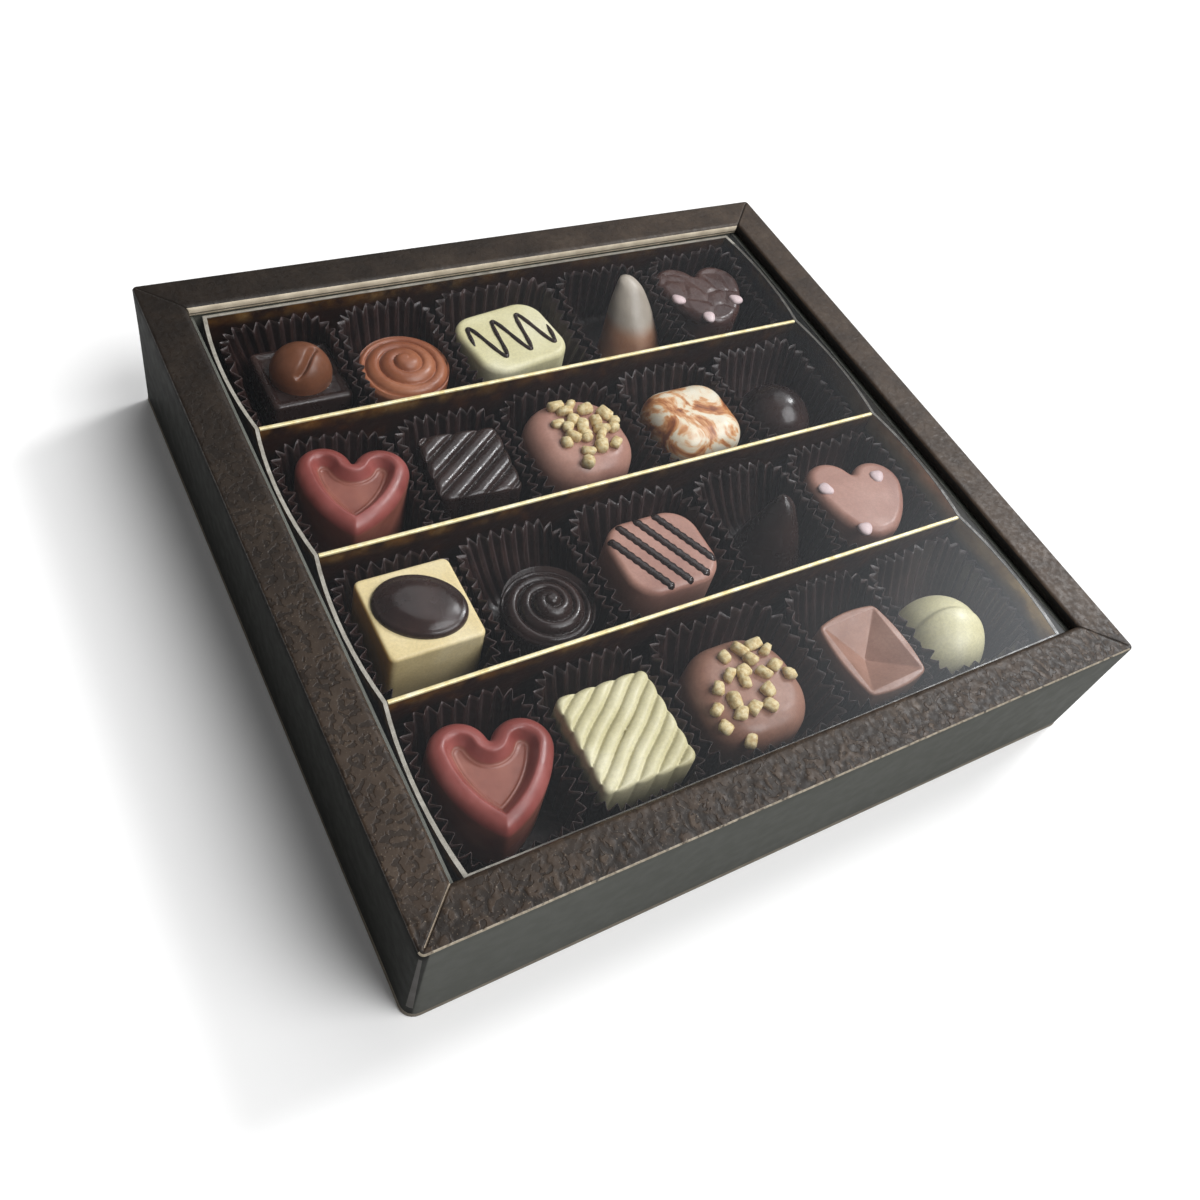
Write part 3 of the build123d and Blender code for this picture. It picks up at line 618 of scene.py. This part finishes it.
def paper_cup(number):
    """A pleated cup: a flat foot round the praline and a wall that flares to the edges of its cell."""
    row, column = divmod(number, 10)
    draw = random.Random(number)
    left, right = CUP_EDGES[row - 1][column - 1] + CUP_GAP_X, CUP_EDGES[row - 1][column] - CUP_GAP_X
    middle_x, middle_y = (left + right) / 2, (2.5 - row) * ROW_PITCH
    low_y, high_y = middle_y - ROW_PITCH / 2 + CUP_GAP_Y, middle_y + ROW_PITCH / 2 - CUP_GAP_Y
    low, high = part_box(f"praline_{number}")
    spread = FOOT_SPREADS.get(number, 1.0)
    foot_x = (max(left + FOOT_INSET, low.x / MM - spread), min(right - FOOT_INSET, high.x / MM + spread))
    foot_y = (max(low_y + FOOT_INSET, low.y / MM - spread), min(high_y - FOOT_INSET, high.y / MM + spread))
    columns = PLEATS * PLEAT_STEPS
    deep = [draw.uniform(0.75, 1.15) for _ in range(PLEATS)]
    tall = [draw.uniform(-1.0, 0.7) for _ in range(PLEATS)]
    lean = [draw.uniform(-0.5, 0.5) for _ in range(PLEATS)]
    centre = np.array([sum(foot_x) / 2, sum(foot_y) / 2])
    foot_half = ((foot_x[1] - foot_x[0]) / 2, (foot_y[1] - foot_y[0]) / 2)
    foot, foot_out = rounded_loop(centre, *foot_half, FOOT_CORNER, columns)
    rim_half = ((right - left) / 2, (high_y - low_y) / 2)
    rim, rim_out = rounded_loop((middle_x, middle_y), *rim_half, RIM_CORNER, columns)
    points, ridges = [], []
    for level in range(CUP_LEVELS):
        t = level / (CUP_LEVELS - 1)
        flare = 0.85 * t**0.7 + 0.15 * t
        for k in range(columns):
            pleat, step = divmod(k, PLEAT_STEPS)
            turn = 2 * pi * step / PLEAT_STEPS
            phase = turn + lean[pleat] * t * sin(turn / 2) ** 2
            wave = asin(PLEAT_EDGE * cos(phase)) / asin(PLEAT_EDGE)
            depth = (0.35 + 0.95 * t) * deep[pleat]
            spot = foot[k] * (1 - flare) + rim[k] * flare
            out = foot_out[k] * (1 - flare) + rim_out[k] * flare
            out = out / max(np.linalg.norm(out), 1e-6)
            crumple = 0.9 * noise.noise(Vector((spot[0] / 7, spot[1] / 7, number + t * 1.3))) * t
            spot = spot - out * (depth * (1 - wave) * 0.9 + max(0.0, crumple))
            rise = tall[pleat] * (1 - cos(turn)) / 2
            rise += 1.4 * noise.noise(Vector((spot[0] / 13, spot[1] / 13, number)))
            if row == 1:
                rise += 3.2 * min(1.0, max(0.0, (spot[1] - middle_y) / 12))
            if column == 5:
                rise += 1.6 * min(1.0, max(0.0, (spot[0] - middle_x) / 10))
            z = CUP_FLOOR + (CUP_RIM - CUP_FLOOR + rise) * t
            points.append((spot[0], spot[1], min(z, CUP_TOP)))
            # Painted highlight: its strength on each pleat's crest, growing towards the rim.
            ridges.append(max(0.0, wave) ** 5 * (0.35 + 0.65 * t))
    # The flat foot: two rings and the middle, just under the praline
    wall, level = len(points), CUP_FLOOR - 0.05
    for share in (0.8, 0.3):
        for k in range(columns):
            inner = centre + (np.array(points[k][:2]) - centre) * share
            points.append((*inner, level))
    faces = strips(CUP_LEVELS, columns)
    for k in range(columns):
        nxt = (k + 1) % columns
        faces.append((wall + k, wall + nxt, nxt, k))
        faces.append((wall + columns + k, wall + columns + nxt, wall + nxt, wall + k))
    points.append((*centre, level))
    last, ring = len(points) - 1, wall + columns
    faces += [(last, ring + (k + 1) % columns, ring + k) for k in range(columns)]
    name = f"paper_cup_{number}"
    piece = make(name, points, faces, [CUP_PAPER], [f"cup_{number}"])
    ridge = piece.data.attributes.new("ridge", "FLOAT", "POINT")
    ridge.data.foreach_set("value", np.pad(ridges, (0, len(points) - len(ridges))))
    paper = piece.modifiers.new("paper", "SOLIDIFY")
    paper.thickness = PAPER_THICKNESS * MM
    paper.offset = 0


for number in PLACES:
    paper_cup(number)


# Pralines
def circle_loop(half_x, half_y, count=160):
    """Points evenly round an ellipse."""
    a = np.linspace(0, 2 * pi, count, endpoint=False)
    return even(np.column_stack([half_x * np.cos(a), half_y * np.sin(a)]), count)


def even(loop, count, soften=0):
    """The loop sampled again at even steps, its corners softened a little."""
    closed = np.vstack([loop, loop[:1]])
    steps = np.linalg.norm(np.diff(closed, axis=0), axis=1)
    along = np.concatenate([[0], np.cumsum(steps)])
    at = np.linspace(0, along[-1], count, endpoint=False)
    found = np.column_stack([np.interp(at, along, closed[:, i]) for i in (0, 1)])
    for _ in range(soften):
        found = (np.roll(found, 1, 0) + 2 * found + np.roll(found, -1, 0)) / 4
    return found


def box_loop(width, depth, corner, count=180):
    """Points round a rounded rectangle about the middle, running the same way as the other loops."""
    spots, _ = rounded_loop((0, 0), width / 2, depth / 2, corner, count)
    return spots[::-1]


def arc_through(p, q, r):
    """Points clockwise along the circle through p, q and r."""
    ax, ay, bx, by, cx, cy = *p, *q, *r
    a, b, c = ax**2 + ay**2, bx**2 + by**2, cx**2 + cy**2
    d = 2 * (ax * (by - cy) + bx * (cy - ay) + cx * (ay - by))
    ux = (a * (by - cy) + b * (cy - ay) + c * (ay - by)) / d
    uy = (a * (cx - bx) + b * (ax - cx) + c * (bx - ax)) / d
    radius = hypot(ax - ux, ay - uy)
    angles = [atan2(y - uy, x - ux) for x, y in (p, q, r)]
    for i in (1, 2):
        while angles[i] > angles[i - 1]:
            angles[i] -= 2 * pi
    turns = np.linspace(angles[0], angles[2], 60)
    return np.column_stack([ux + radius * np.cos(turns), uy + radius * np.sin(turns)])


def heart_loop(width, length, soften=5, blunt=0, count=200):
    """A heart, its cleft towards +y. `blunt` is the length of point that is pressed flatter."""
    waist = (width / 2, 0.17 * length)
    upper = arc_through((0, 0.30 * length), (0.27 * width, length / 2), waist)
    lower = arc_through(waist, (0.34 * width, -0.19 * length), (0, -length / 2))
    half = np.vstack([upper, lower[1:]])
    other = half[::-1] * (-1, 1)
    loop = even(np.vstack([half, other[1:-1]]), count, soften)[::-1]
    if blunt:
        start = blunt - length / 2
        low = loop[:, 1] < start
        loop[low, 1] = start - (start - loop[low, 1]) * 0.45
        loop = even(loop, count, 8)
    return loop


def gap_to(spots, loop):
    """How far each spot lies from the loop."""
    a, b = loop, np.roll(loop, -1, 0)
    run = b - a
    share = ((spots[:, None] - a) * run).sum(2) / np.maximum((run**2).sum(1), 1e-9)
    near = a + unit(share)[..., None] * run
    return np.sqrt(((spots[:, None] - near) ** 2).sum(2)).min(1)


def rounding(gap, radius):
    """How far a rounded edge lies below the top, `gap` in from the side."""
    t = unit(1 - gap / radius)
    return radius * (1 - np.sqrt(1 - t**2))


def turned(flat, degrees):
    c, s = cos(radians(degrees)), sin(radians(degrees))
    return np.column_stack([flat[:, 0] * c - flat[:, 1] * s, flat[:, 0] * s + flat[:, 1] * c])


def set_down(number, points):
    """Points drawn about a praline's middle, from its cup's floor up, moved to its place."""
    x, y, turn = PLACES[number]
    points = np.asarray(points, float)
    return np.column_stack([turned(points[:, :2], turn) + (x, y), points[:, 2] + CUP_FLOOR])


def capped(faces, first, last, columns):
    """The faces between rings, with a fan from the top ring to the point `last` and one face below."""
    ring = last - columns
    fan = [(last, ring + k, ring + (k + 1) % columns) for k in range(columns)]
    return faces + fan + [tuple(range(first + columns - 1, first - 1, -1))]


def moulded(
    number, name, loop, height, top, edge, material, foot=1.02, side=8, rings=34,
    warp=None, replaced=None, base=0.0, belly=0.0,
):
    """A moulded piece: a wall with a little draft from its foot, and a top whose height is top(x, y, gap)."""
    columns = len(loop)
    reach = np.linalg.norm(loop, axis=1).mean()
    layers = []
    for k in range(side):
        t = k / side
        grow = foot + (1 - foot) * t + belly * sin(pi * t)
        layers.append(np.column_stack([loop * grow, np.full(columns, t * (height - edge))]))
    shares = [1 - edge / reach * (1 - cos(a)) for a in np.linspace(0, pi / 2, 9)]
    shares += list(np.linspace(shares[-1], 0.03, rings)[1:])
    for share in shares:
        flat = loop * share
        layers.append(np.column_stack([flat, top(flat[:, 0], flat[:, 1], gap_to(flat, loop))]))
    points = np.vstack(layers)
    faces = strips(len(layers), columns)
    if warp is not None:
        points = warp(points, normals_of(points, faces))
    points[:, 2] += base
    points = np.vstack([points, points[-columns:].mean(0)])
    faces = capped(faces, 0, len(points) - 1, columns)
    replaced = replaced or [f"praline_{number}"]
    make(name, set_down(number, points), faces, [material], replaced)


def drop_edge(height, edge):
    """A flat top with a rounded edge."""
    return lambda x, y, gap: height - rounding(gap, edge)


# 11: a dark square with a milk bean on top
SQUARE_HEIGHT, SQUARE_EDGE = 13.6, 1.1


def bean_top(x, y, gap):
    along, across = turned(np.column_stack([x, y]), -33).T
    dome = 8.4 * np.sqrt(unit(1 - (x / 8.4) ** 2 - (y / 8.2) ** 2))
    line = across + 2.7 - 0.9 * np.sin(along / 2.4)
    groove = 1.9 * np.exp(-((line / 0.8) ** 2)) * unit(1.1 - ((along + 1) / 5.4) ** 4)
    return np.maximum(dome - groove, 0.1) + 1.0


def tray_top(x, y, gap):
    return SQUARE_HEIGHT - rounding(gap, SQUARE_EDGE) - 0.5 * unit((gap - 1.6) / 0.8)


moulded(
    11, "praline_bean_block", box_loop(22, 22, 1.6), SQUARE_HEIGHT, tray_top, SQUARE_EDGE,
    DARK, 1.03,
)
moulded(
    11, "praline_bean", circle_loop(8.3, 8.1), 1.2, bean_top, 0.2,
    BEAN_MILK, 1.0, 3, base=SQUARE_HEIGHT - 0.7, replaced=["coffee_bean"],
)


# 12 and 32: swirls piped in a rising spiral
SWIRL_EDGE = 1.6


def swirl_top(radius, height, turns, rise, rope, start):
    def top(x, y, gap):
        r, a = np.hypot(x, y), np.arctan2(y, x)
        pitch = radius / turns
        u = r / pitch - (a + start) / (2 * pi)
        share = u - np.floor(u)
        round_rope = np.sqrt(unit(1 - (2 * share - 1) ** 2))
        knob = np.exp(-((r / (0.62 * pitch)) ** 2))
        climb = rise * (1 - r / radius)
        body = height - rise - rope + climb + rope * round_rope
        body = body * (1 - knob) + (height - 0.2) * knob
        return body - rounding(gap, SWIRL_EDGE)
    return top


moulded(
    12, "praline_swirl_milk", circle_loop(12.6, 12.2, 200), 18.8, swirl_top(12.4, 18.8, 3.2, 3.4, 1.5, 2.0),
    SWIRL_EDGE, MILK, 0.93, rings=60, belly=0.03,
)
moulded(
    32, "praline_swirl_dark", circle_loop(11.7, 11.7, 200), 17, swirl_top(11.7, 17, 3.6, 4.6, 1.9, 0.4),
    SWIRL_EDGE, DARK, 0.96, rings=60, belly=0.03,
)

# 13: a white block; 33: a milk block. Both get lines below. Width, depth and corner of each
LINE_BLOCK, STRIPE_BLOCK = (29, 24.5, 7), (27, 24, 8)
BLOCK_HEIGHT, BLOCK_EDGE = 18.4, 1.8
block_top = drop_edge(BLOCK_HEIGHT, BLOCK_EDGE)
moulded(
    13, "praline_line_block", box_loop(*LINE_BLOCK), BLOCK_HEIGHT, block_top, BLOCK_EDGE,
    WHITE,
)
moulded(
    33, "praline_stripe_block", box_loop(*STRIPE_BLOCK), BLOCK_HEIGHT, block_top, BLOCK_EDGE,
    PINK_MILK,
)


# 14 and 34: cones with full sides and a bent tip
CONE_RADIUS, CONE_HEIGHT = 11.0, 21.6


def cone(number, name, material, lean, curl, tip, full, bow=(0, 0), foot=(0, 0)):
    """A cone whose middle line runs from `foot` to `lean`, swings out by `bow` and ends in a `curl`."""
    columns, levels = 96, 40
    lean, curl, bow, foot = (np.array(pair) for pair in (lean, curl, bow, foot))
    a = np.linspace(0, 2 * pi, columns, endpoint=False)
    circle = np.column_stack([np.cos(a), np.sin(a)])
    layers = []
    for k in range(levels):
        t = k / (levels - 1)
        girth = (CONE_RADIUS - tip) * (1 - t) ** full * (1 - 0.08 * t) + tip
        tail = curl * max(0.0, (t - 0.86) / 0.14) ** 2
        centre = foot * (1 - t) + lean * t**1.15 + bow * sin(pi * t) + tail
        layers.append(np.column_stack([circle * girth + centre, np.full(columns, CONE_HEIGHT * t**1.02)]))
    points = np.vstack(layers)
    faces = strips(levels, columns)
    points = points + normals_of(points, faces) * lumps(points, 6, number)[:, None] * 0.25
    points[:, 2] = np.maximum(points[:, 2], 0)
    points = np.vstack([points, points[-columns:].mean(0) + (0, 0, 0.25)])
    faces = capped(faces, 0, len(points) - 1, columns)
    make(name, set_down(number, points), faces, [material], [f"praline_{number}"])


cone(
    14, "praline_cone_milk", CONE_MILK,
    lean=(4.3, 7.3), curl=(-0.6, 0.5), tip=1.2, full=0.5, bow=(0.4, -0.2), foot=(3.4, -5.2),
)
cone(34, "praline_cone_dark", DARK, lean=(2.0, 4.2), curl=(-0.6, 0.2), tip=0.6, full=0.62)


# 15 and 35: lobed hearts with three dots, the dark one with facets
LOBED_WIDTH, LOBED_LENGTH, LOBED_HEIGHT, LOBED_EDGE = 29.0, 30.2, 18.2, 2.4
DOT_RADIUS, DOT_SUNK = 2.1, 0.15


def lobed_top(facets, depth):
    def top(x, y, gap):
        ground = LOBED_HEIGHT - rounding(gap, LOBED_EDGE) - 0.02 * (x**2 + y**2) / 10
        if facets:
            near = [noise.voronoi(Vector((a / facets, b / facets, 0)))[0] for a, b in zip(x, y)]
            ridge = np.array([distances[1] - distances[0] for distances in near])
            ground = ground - depth * unit(1 - ridge / 0.35) * unit(gap / 2.5)
        return ground
    return top


LOBED = heart_loop(LOBED_WIDTH, LOBED_LENGTH, soften=6, blunt=5)
moulded(
    15, "praline_dark_heart", LOBED, LOBED_HEIGHT, lobed_top(7.5, 0.35), LOBED_EDGE,
    RED_DARK, 1.0,
)
moulded(
    35, "praline_pink_heart", LOBED, LOBED_HEIGHT, lobed_top(0, 0), LOBED_EDGE,
    PINK_MILK, 1.0,
)


def dots(number, name, shares, replaced):
    """Three small teardrops of pale chocolate on a lobed heart's top, at shares of its width and length."""
    draw = random.Random(number)
    columns = 28
    rings = ((1.0, -0.5), (1.0, 0.05), (0.92, 0.32), (0.75, 0.55), (0.5, 0.72), (0.2, 0.8))
    points, faces = [], []
    for share_x, share_y in shares:
        heading = draw.uniform(0, 6.28)
        first = len(points)
        for grow, z in rings:
            for k in range(columns):
                a = 2 * pi * k / columns
                r = DOT_RADIUS * (1 + 0.30 * cos(a) ** 3 + 0.08 * sin(2 * a + number)) * grow
                x = r * cos(a + heading) + share_x * LOBED_WIDTH
                y = r * sin(a + heading) + share_y * LOBED_LENGTH
                points.append((x, y, LOBED_HEIGHT - DOT_SUNK + z))
        points.append(tuple(np.mean(points[-columns:], 0) + (0, 0, 0.02)))
        faces += capped(strips(len(rings), columns, first), first, len(points) - 1, columns)
    make(name, set_down(number, points), faces, [PALE_PINK], [replaced])


dots(15, "dots_dark_heart", ((-0.38, -0.04), (0.30, -0.10), (-0.12, -0.32)), "dots_15")
dots(35, "dots_pink_heart", ((-0.37, 0.15), (0.24, 0.29), (-0.16, -0.33)), "dots_35")


# 21 and 41: red hearts with a raised rim and a sunken floor
HEART_HEIGHT, HEART_RIM = 19.2, 3.4


def heart_top(x, y, gap):
    fall = unit((gap - HEART_RIM) / 2.6)
    edge = 0.22 * np.exp(-(((gap - 6.1) / 0.3) ** 2))
    return HEART_HEIGHT - rounding(gap, HEART_RIM) - 3.2 * fall * fall * (3 - 2 * fall) + edge


HEART = heart_loop(27.8, 28.2)
for number in (21, 41):
    moulded(
        number, f"praline_red_heart_{number}", HEART, HEART_HEIGHT, heart_top, HEART_RIM,
        RED, 1.03, rings=56,
    )


# 22 and 42: blocks with slanting ridges that run over their edges
RIDGE_TURN, RIDGE_EDGE = 40, 1.3


def ridged(number, name, width, depth, height, corner, pitch, drop, material, waved=0.0):
    def crest(x, y):
        along, across = turned(np.column_stack([x, y]), -RIDGE_TURN).T
        u = across / pitch + waved * np.sin(along / 2.6)
        share = u - np.floor(u)
        return np.sqrt(unit(1 - (2 * share - 1) ** 2))

    def top(x, y, gap):
        return height - rounding(gap, RIDGE_EDGE) - drop * (1 - crest(x, y)) * np.clip(gap / 0.8, 0.45, 1)

    def warp(points, outward):
        steep = unit(1 - np.abs(outward[:, 2])) * unit(points[:, 2] / height * 2 - 0.4)
        push = (crest(points[:, 0], points[:, 1]) - 0.7) * 0.7 * steep
        return points + outward * push[:, None]

    loop = box_loop(width, depth, corner, 280)
    moulded(number, name, loop, height, top, RIDGE_EDGE, material, 1.02, 14, 70, warp)


ridged(22, "praline_ridged_dark", 22.4, 22.4, 18, 2.5, 4.5, 1.5, DARK)
ridged(42, "praline_ridged_white", 24.2, 25.7, 19.6, 2.2, 3.5, 1.25, IVORY, 0.045)


# 23 and 43: soft blocks under chopped nuts
def cushion(height, edge, crown):
    """A top that rises by `crown` towards its middle, with a rounded edge."""
    return lambda x, y, gap: height - crown - rounding(gap, edge) + crown * unit(gap / 12) ** 0.5


NUT_BLOCK = box_loop(29, 29, 12)
NUT_HEIGHT, NUT_EDGE = 18.6, 5.5
nut_block_top = cushion(NUT_HEIGHT, NUT_EDGE, 0.6)
for number, material in ((23, PINK_MILK), (43, DISH_MILK)):
    moulded(
        number, f"praline_nut_block_{number}", NUT_BLOCK, NUT_HEIGHT, nut_block_top, NUT_EDGE,
        material, 1.0, belly=0.01,
    )


def nut(draw, spot, size):
    """One chopped piece: the hull of a box's corners, each drawn in at random, with its edges rounded."""
    shape = bmesh.new()
    for corner in np.ndindex(2, 2, 2):
        shape.verts.new([(2 * c - 1) * reach * draw.uniform(0.5, 1.0) for c, reach in zip(corner, size)])
    hull = bmesh.ops.convex_hull(shape, input=shape.verts)
    inside = [v for v in hull["geom_interior"] if isinstance(v, bmesh.types.BMVert)]
    bmesh.ops.delete(shape, geom=inside, context="VERTS")
    soft = min(size) * 0.3
    bmesh.ops.bevel(
        shape, geom=shape.edges[:], offset=soft, segments=1, affect="EDGES", clamp_overlap=True
    )
    bmesh.ops.triangulate(shape, faces=shape.faces[:])
    shape.verts.ensure_lookup_table()
    turn = Matrix.Rotation(draw.uniform(0, 6.28), 3, "Z")
    points = [turn @ v.co + Vector(spot) for v in shape.verts]
    faces = [tuple(v.index for v in f.verts) for f in shape.faces]
    shape.free()
    return points, faces


def nuts(number, name, spots, replaced):
    """Chopped pieces, each sunk a little into the soft block's top."""
    draw = random.Random(number)
    points, faces = [], []
    heights = nut_block_top(0, 0, gap_to(np.array(spots), NUT_BLOCK))
    for (x, y), z in zip(spots, heights):
        size = (draw.uniform(1.9, 2.9), draw.uniform(1.5, 2.1), draw.uniform(1.2, 1.8))
        made, hull = nut(draw, (x, y, z + size[2] * 0.45), size)
        first = len(points)
        points += [tuple(p) for p in made]
        faces += [tuple(first + i for i in f) for f in hull]
    make(name, set_down(number, points), faces, [NUT], [replaced])


def piled(seed, count, middle, spread):
    """Places for chopped pieces heaped on a soft block's top."""
    draw = random.Random(seed)
    spots = []
    for _ in range(count * 30):
        x, y = draw.gauss(middle[0], spread[0]), draw.gauss(middle[1], spread[1])
        clear = all(hypot(x - a, y - b) > 2.6 for a, b in spots)
        if clear and len(spots) < count and hypot(x, y) < 11.5:
            spots.append((x, y))
    return spots


NUTS_43 = (
    (-2.4, 8.6), (3.1, 5.6), (10.8, -1.1), (-6.6, -2.8), (-6.9, -6.4), (-3.1, -6.2), (2.6, -3.6),
    (1.0, -7.2), (-11.8, -3.2), (-4.4, 3.6), (6.6, 9.2), (8.8, 6.9), (-1.6, 0.6), (8.4, 2.2),
    (-8.6, 1.6), (2.2, 9.4), (0.0, 3.4), (4.6, 1.2), (-11.6, -7.6), (-7.3, -12.7),
)
nuts(23, "nuts_block_23", piled(5, 22, (3.5, 3.5), (5.5, 4.5)), "nuts_23")
nuts(43, "nuts_block_43", NUTS_43, "nuts_43")


# 24: a marbled block
moulded(
    24, "praline_marbled", box_loop(26.6, 25, 8), 19, cushion(19, 6, 0.8), 6,
    MARBLED, 0.98,
)


# 25: a dark dome
def dome_top(x, y, gap):
    return 5 + 13.6 * np.sqrt(unit(1 - (np.hypot(x, y) / 12.02) ** 2))


moulded(
    25, "praline_dome", circle_loop(12, 12), 5.2, dome_top, 0.3,
    DARK, 0.95, rings=50, belly=0.02,
)


# 31: a white block under a dark oval
OVAL_SIDE = 1.3
moulded(
    31, "praline_white_block", box_loop(24, 24, 1.8), 19.2, drop_edge(19.2, 1.0), 1.0,
    GOLDEN_WHITE, 1.02,
)


def oval_top(x, y, gap):
    side = 1.5 * np.sqrt(unit(1 - (1 - unit(gap / OVAL_SIDE)) ** 2))
    inward = unit((gap - OVAL_SIDE) / 4.6)
    return 0.1 + side + 1.4 * inward * (2 - inward) * 0.9


moulded(
    31, "oval_top", turned(circle_loop(11.4, 9.0), -30), 0.4, oval_top, 0.2,
    DARK, 1.0, 2, base=19.1, replaced=["dark_oval"],
)


# 44: a milk dish with a hipped hollow
DISH_HEIGHT, DISH_EDGE = 17.2, 0.7


def dish_loop(width, depth, bulge):
    """A square-cornered loop whose sides bow out."""
    base = box_loop(width, depth, 1.2, 200)
    x, y = base[:, 0], base[:, 1]
    grow_x = bulge * (1 - (y / (depth / 2)) ** 2) * (np.abs(x) / (width / 2)) ** 3 * np.sign(x)
    grow_y = bulge * (1 - (x / (width / 2)) ** 2) * (np.abs(y) / (depth / 2)) ** 3 * np.sign(y)
    return np.column_stack([x + grow_x, y + grow_y])


def dish_top(x, y, gap):
    slope = np.minimum(8.6 - np.abs(x), (10.1 - np.abs(y)) * 0.86)
    return DISH_HEIGHT - rounding(gap, DISH_EDGE) - 0.62 * np.clip(slope, 0, None)


moulded(
    44, "praline_dish", dish_loop(19, 22, 1.3), DISH_HEIGHT, dish_top, DISH_EDGE,
    DISH_MILK, 1.04, rings=60,
)


# 45: a white egg with a raised fold
def egg_top(x, y, gap):
    round_top = np.sqrt(unit(1 - (x / 13.85) ** 2 - (y / 12.65) ** 2))
    back = 0.78 * x + 0.62 * y - 2.6 + 0.03 * (0.62 * x - 0.78 * y) ** 2
    return 5 + 13.8 * round_top + 1.3 * round_top / (1 + np.exp(np.clip(back * 4, -30, 30)))


moulded(
    45, "praline_egg", circle_loop(13.8, 12.6), 5.2, egg_top, 0.3,
    WHITE, 0.94, rings=60, belly=0.03,
)


def drizzle(number, name, paths, width, height, level, replaced):
    """Flat rounded lines of dark chocolate along paths on a praline's top."""
    half = ((-1.0, -0.35), (-1.0, 0.15), (-0.72, 0.7), (-0.25, 1.0))
    section = half + tuple((-across, up) for across, up in half[::-1])
    points, faces = [], []
    for path in paths:
        path = np.array(path, float)
        along = np.gradient(path, axis=0)
        along /= np.linalg.norm(along, axis=1, keepdims=True)
        side = np.column_stack([-along[:, 1], along[:, 0]])
        first = len(points)
        for k, spot in enumerate(path):
            end = min(k, len(path) - 1 - k)
            full = sqrt(min(1.0, (end + 0.35) / 4))
            wide = width / 2 * full * (1 + 0.12 * sin(k * 0.7 + first))
            for across, up in section:
                x, y = spot + side[k] * across * wide
                points.append((x, y, level(x, y) + height * (up * full if up > 0 else up)))
        faces += strips(len(path), len(section), first)
        faces.append(tuple(range(first, first + len(section)))[::-1])
        faces.append(tuple(range(len(points) - len(section), len(points))))
    make(name, set_down(number, points), faces, [DARK], [replaced])


def level_of(block):
    """The height of a block's top, at any place on it."""
    loop = box_loop(*block)
    return lambda x, y: float(block_top(x, y, gap_to(np.array([[x, y]]), loop))[0])


def clipped(path, width, depth, corner):
    """The stretches of a path that lie over a rounded block."""
    margin = 0.4
    half_x, half_y = width / 2 - margin, depth / 2 - margin
    kept, run = [], []
    for x, y in path:
        dx, dy = max(abs(x) - half_x + corner, 0), max(abs(y) - half_y + corner, 0)
        inside = abs(x) < half_x and abs(y) < half_y and hypot(dx, dy) < corner
        if inside:
            run.append((x, y))
        elif run:
            kept.append(run)
            run = []
    if run:
        kept.append(run)
    return [r for r in kept if len(r) > 8]


zigzag = [(-12.5 + 25 * t, 7.0 * sin(2 * pi * 3 * t)) for t in np.linspace(0, 1, 160)]
drizzle(13, "lines_white_block", [zigzag], 1.3, 0.6, level_of(LINE_BLOCK), "dark_lines")

stripes = []
for k in range(4):
    line = np.column_stack([np.full(130, (k - 1.5) * 5.2), np.linspace(-16, 16, 130)])
    stripes += clipped(turned(line, 25), *STRIPE_BLOCK)
drizzle(33, "stripes_milk_block", stripes, 2.3, 0.55, level_of(STRIPE_BLOCK), "dark_stripes")


# Floor, world and lamps
FLOOR_HALF = 9  # metres
corners = [(x * FLOOR_HALF, y * FLOOR_HALF, 0) for x, y in ((-1, -1), (1, -1), (1, 1), (-1, 1))]
floor_mesh = bpy.data.meshes.new("floor")
floor_mesh.from_pydata(corners, [], [(0, 1, 2, 3)])
g = Graph("floor")
paper = g.patches(2, 2, "fafafa", "ffffff")
glow = {"Emission Color": (1, 1, 1, 1), "Emission Strength": 0.02}
floor_mesh.materials.append(g.shiny(paper, 0.9, more=glow))
add_object("floor", floor_mesh)

# The camera sees white all round. Gloss and film see a white horizon, and the rest a dim one
world = bpy.data.worlds.new("studio")
scene.world = world
world.use_nodes = True
w = Graph("studio", world.node_tree)
up = w.add("SeparateXYZ", {0: w.add("TexCoord", out="Generated")}, out="Z")
rays = [w.add("LightPath", out=f"Is {kind} Ray") for kind in ("Camera", "Glossy", "Transmission")]
seen = w.math("MAXIMUM", rays[0], w.math("MAXIMUM", rays[1], rays[2]))
horizon = w.span(seen, 0.0, 1.0, 0.20, 1.0, False)
zenith = w.span(rays[0], 0.0, 1.0, 0.08, 1.0, False)
shade = w.span(up, 0.08, 0.26, horizon, zenith)
sky = w.add("Background", {"Color": w.grey(shade)})
w.add("OutputWorld", {"Surface": sky})


def sun(name, direction, strength, width):
    """A sun in a direction, `width` degrees across."""
    data = bpy.data.lights.new(name, "SUN")
    data.energy = strength
    data.angle = radians(width)
    thing = add_object(name, data)
    thing.location = direction
    thing.rotation_mode = "QUATERNION"
    thing.rotation_quaternion = (-Vector(direction)).to_track_quat("-Z", "Y")


sun("right", (0.710, 0.177, 0.682), 1.25, 13)
sun("front", (0.404, -0.482, 0.777), 2.6, 42)
sun("back", (0.486, 0.304, 0.819), 0.8, 50)
sun("left", (-0.604, 0.220, 0.766), 0.1, 70)
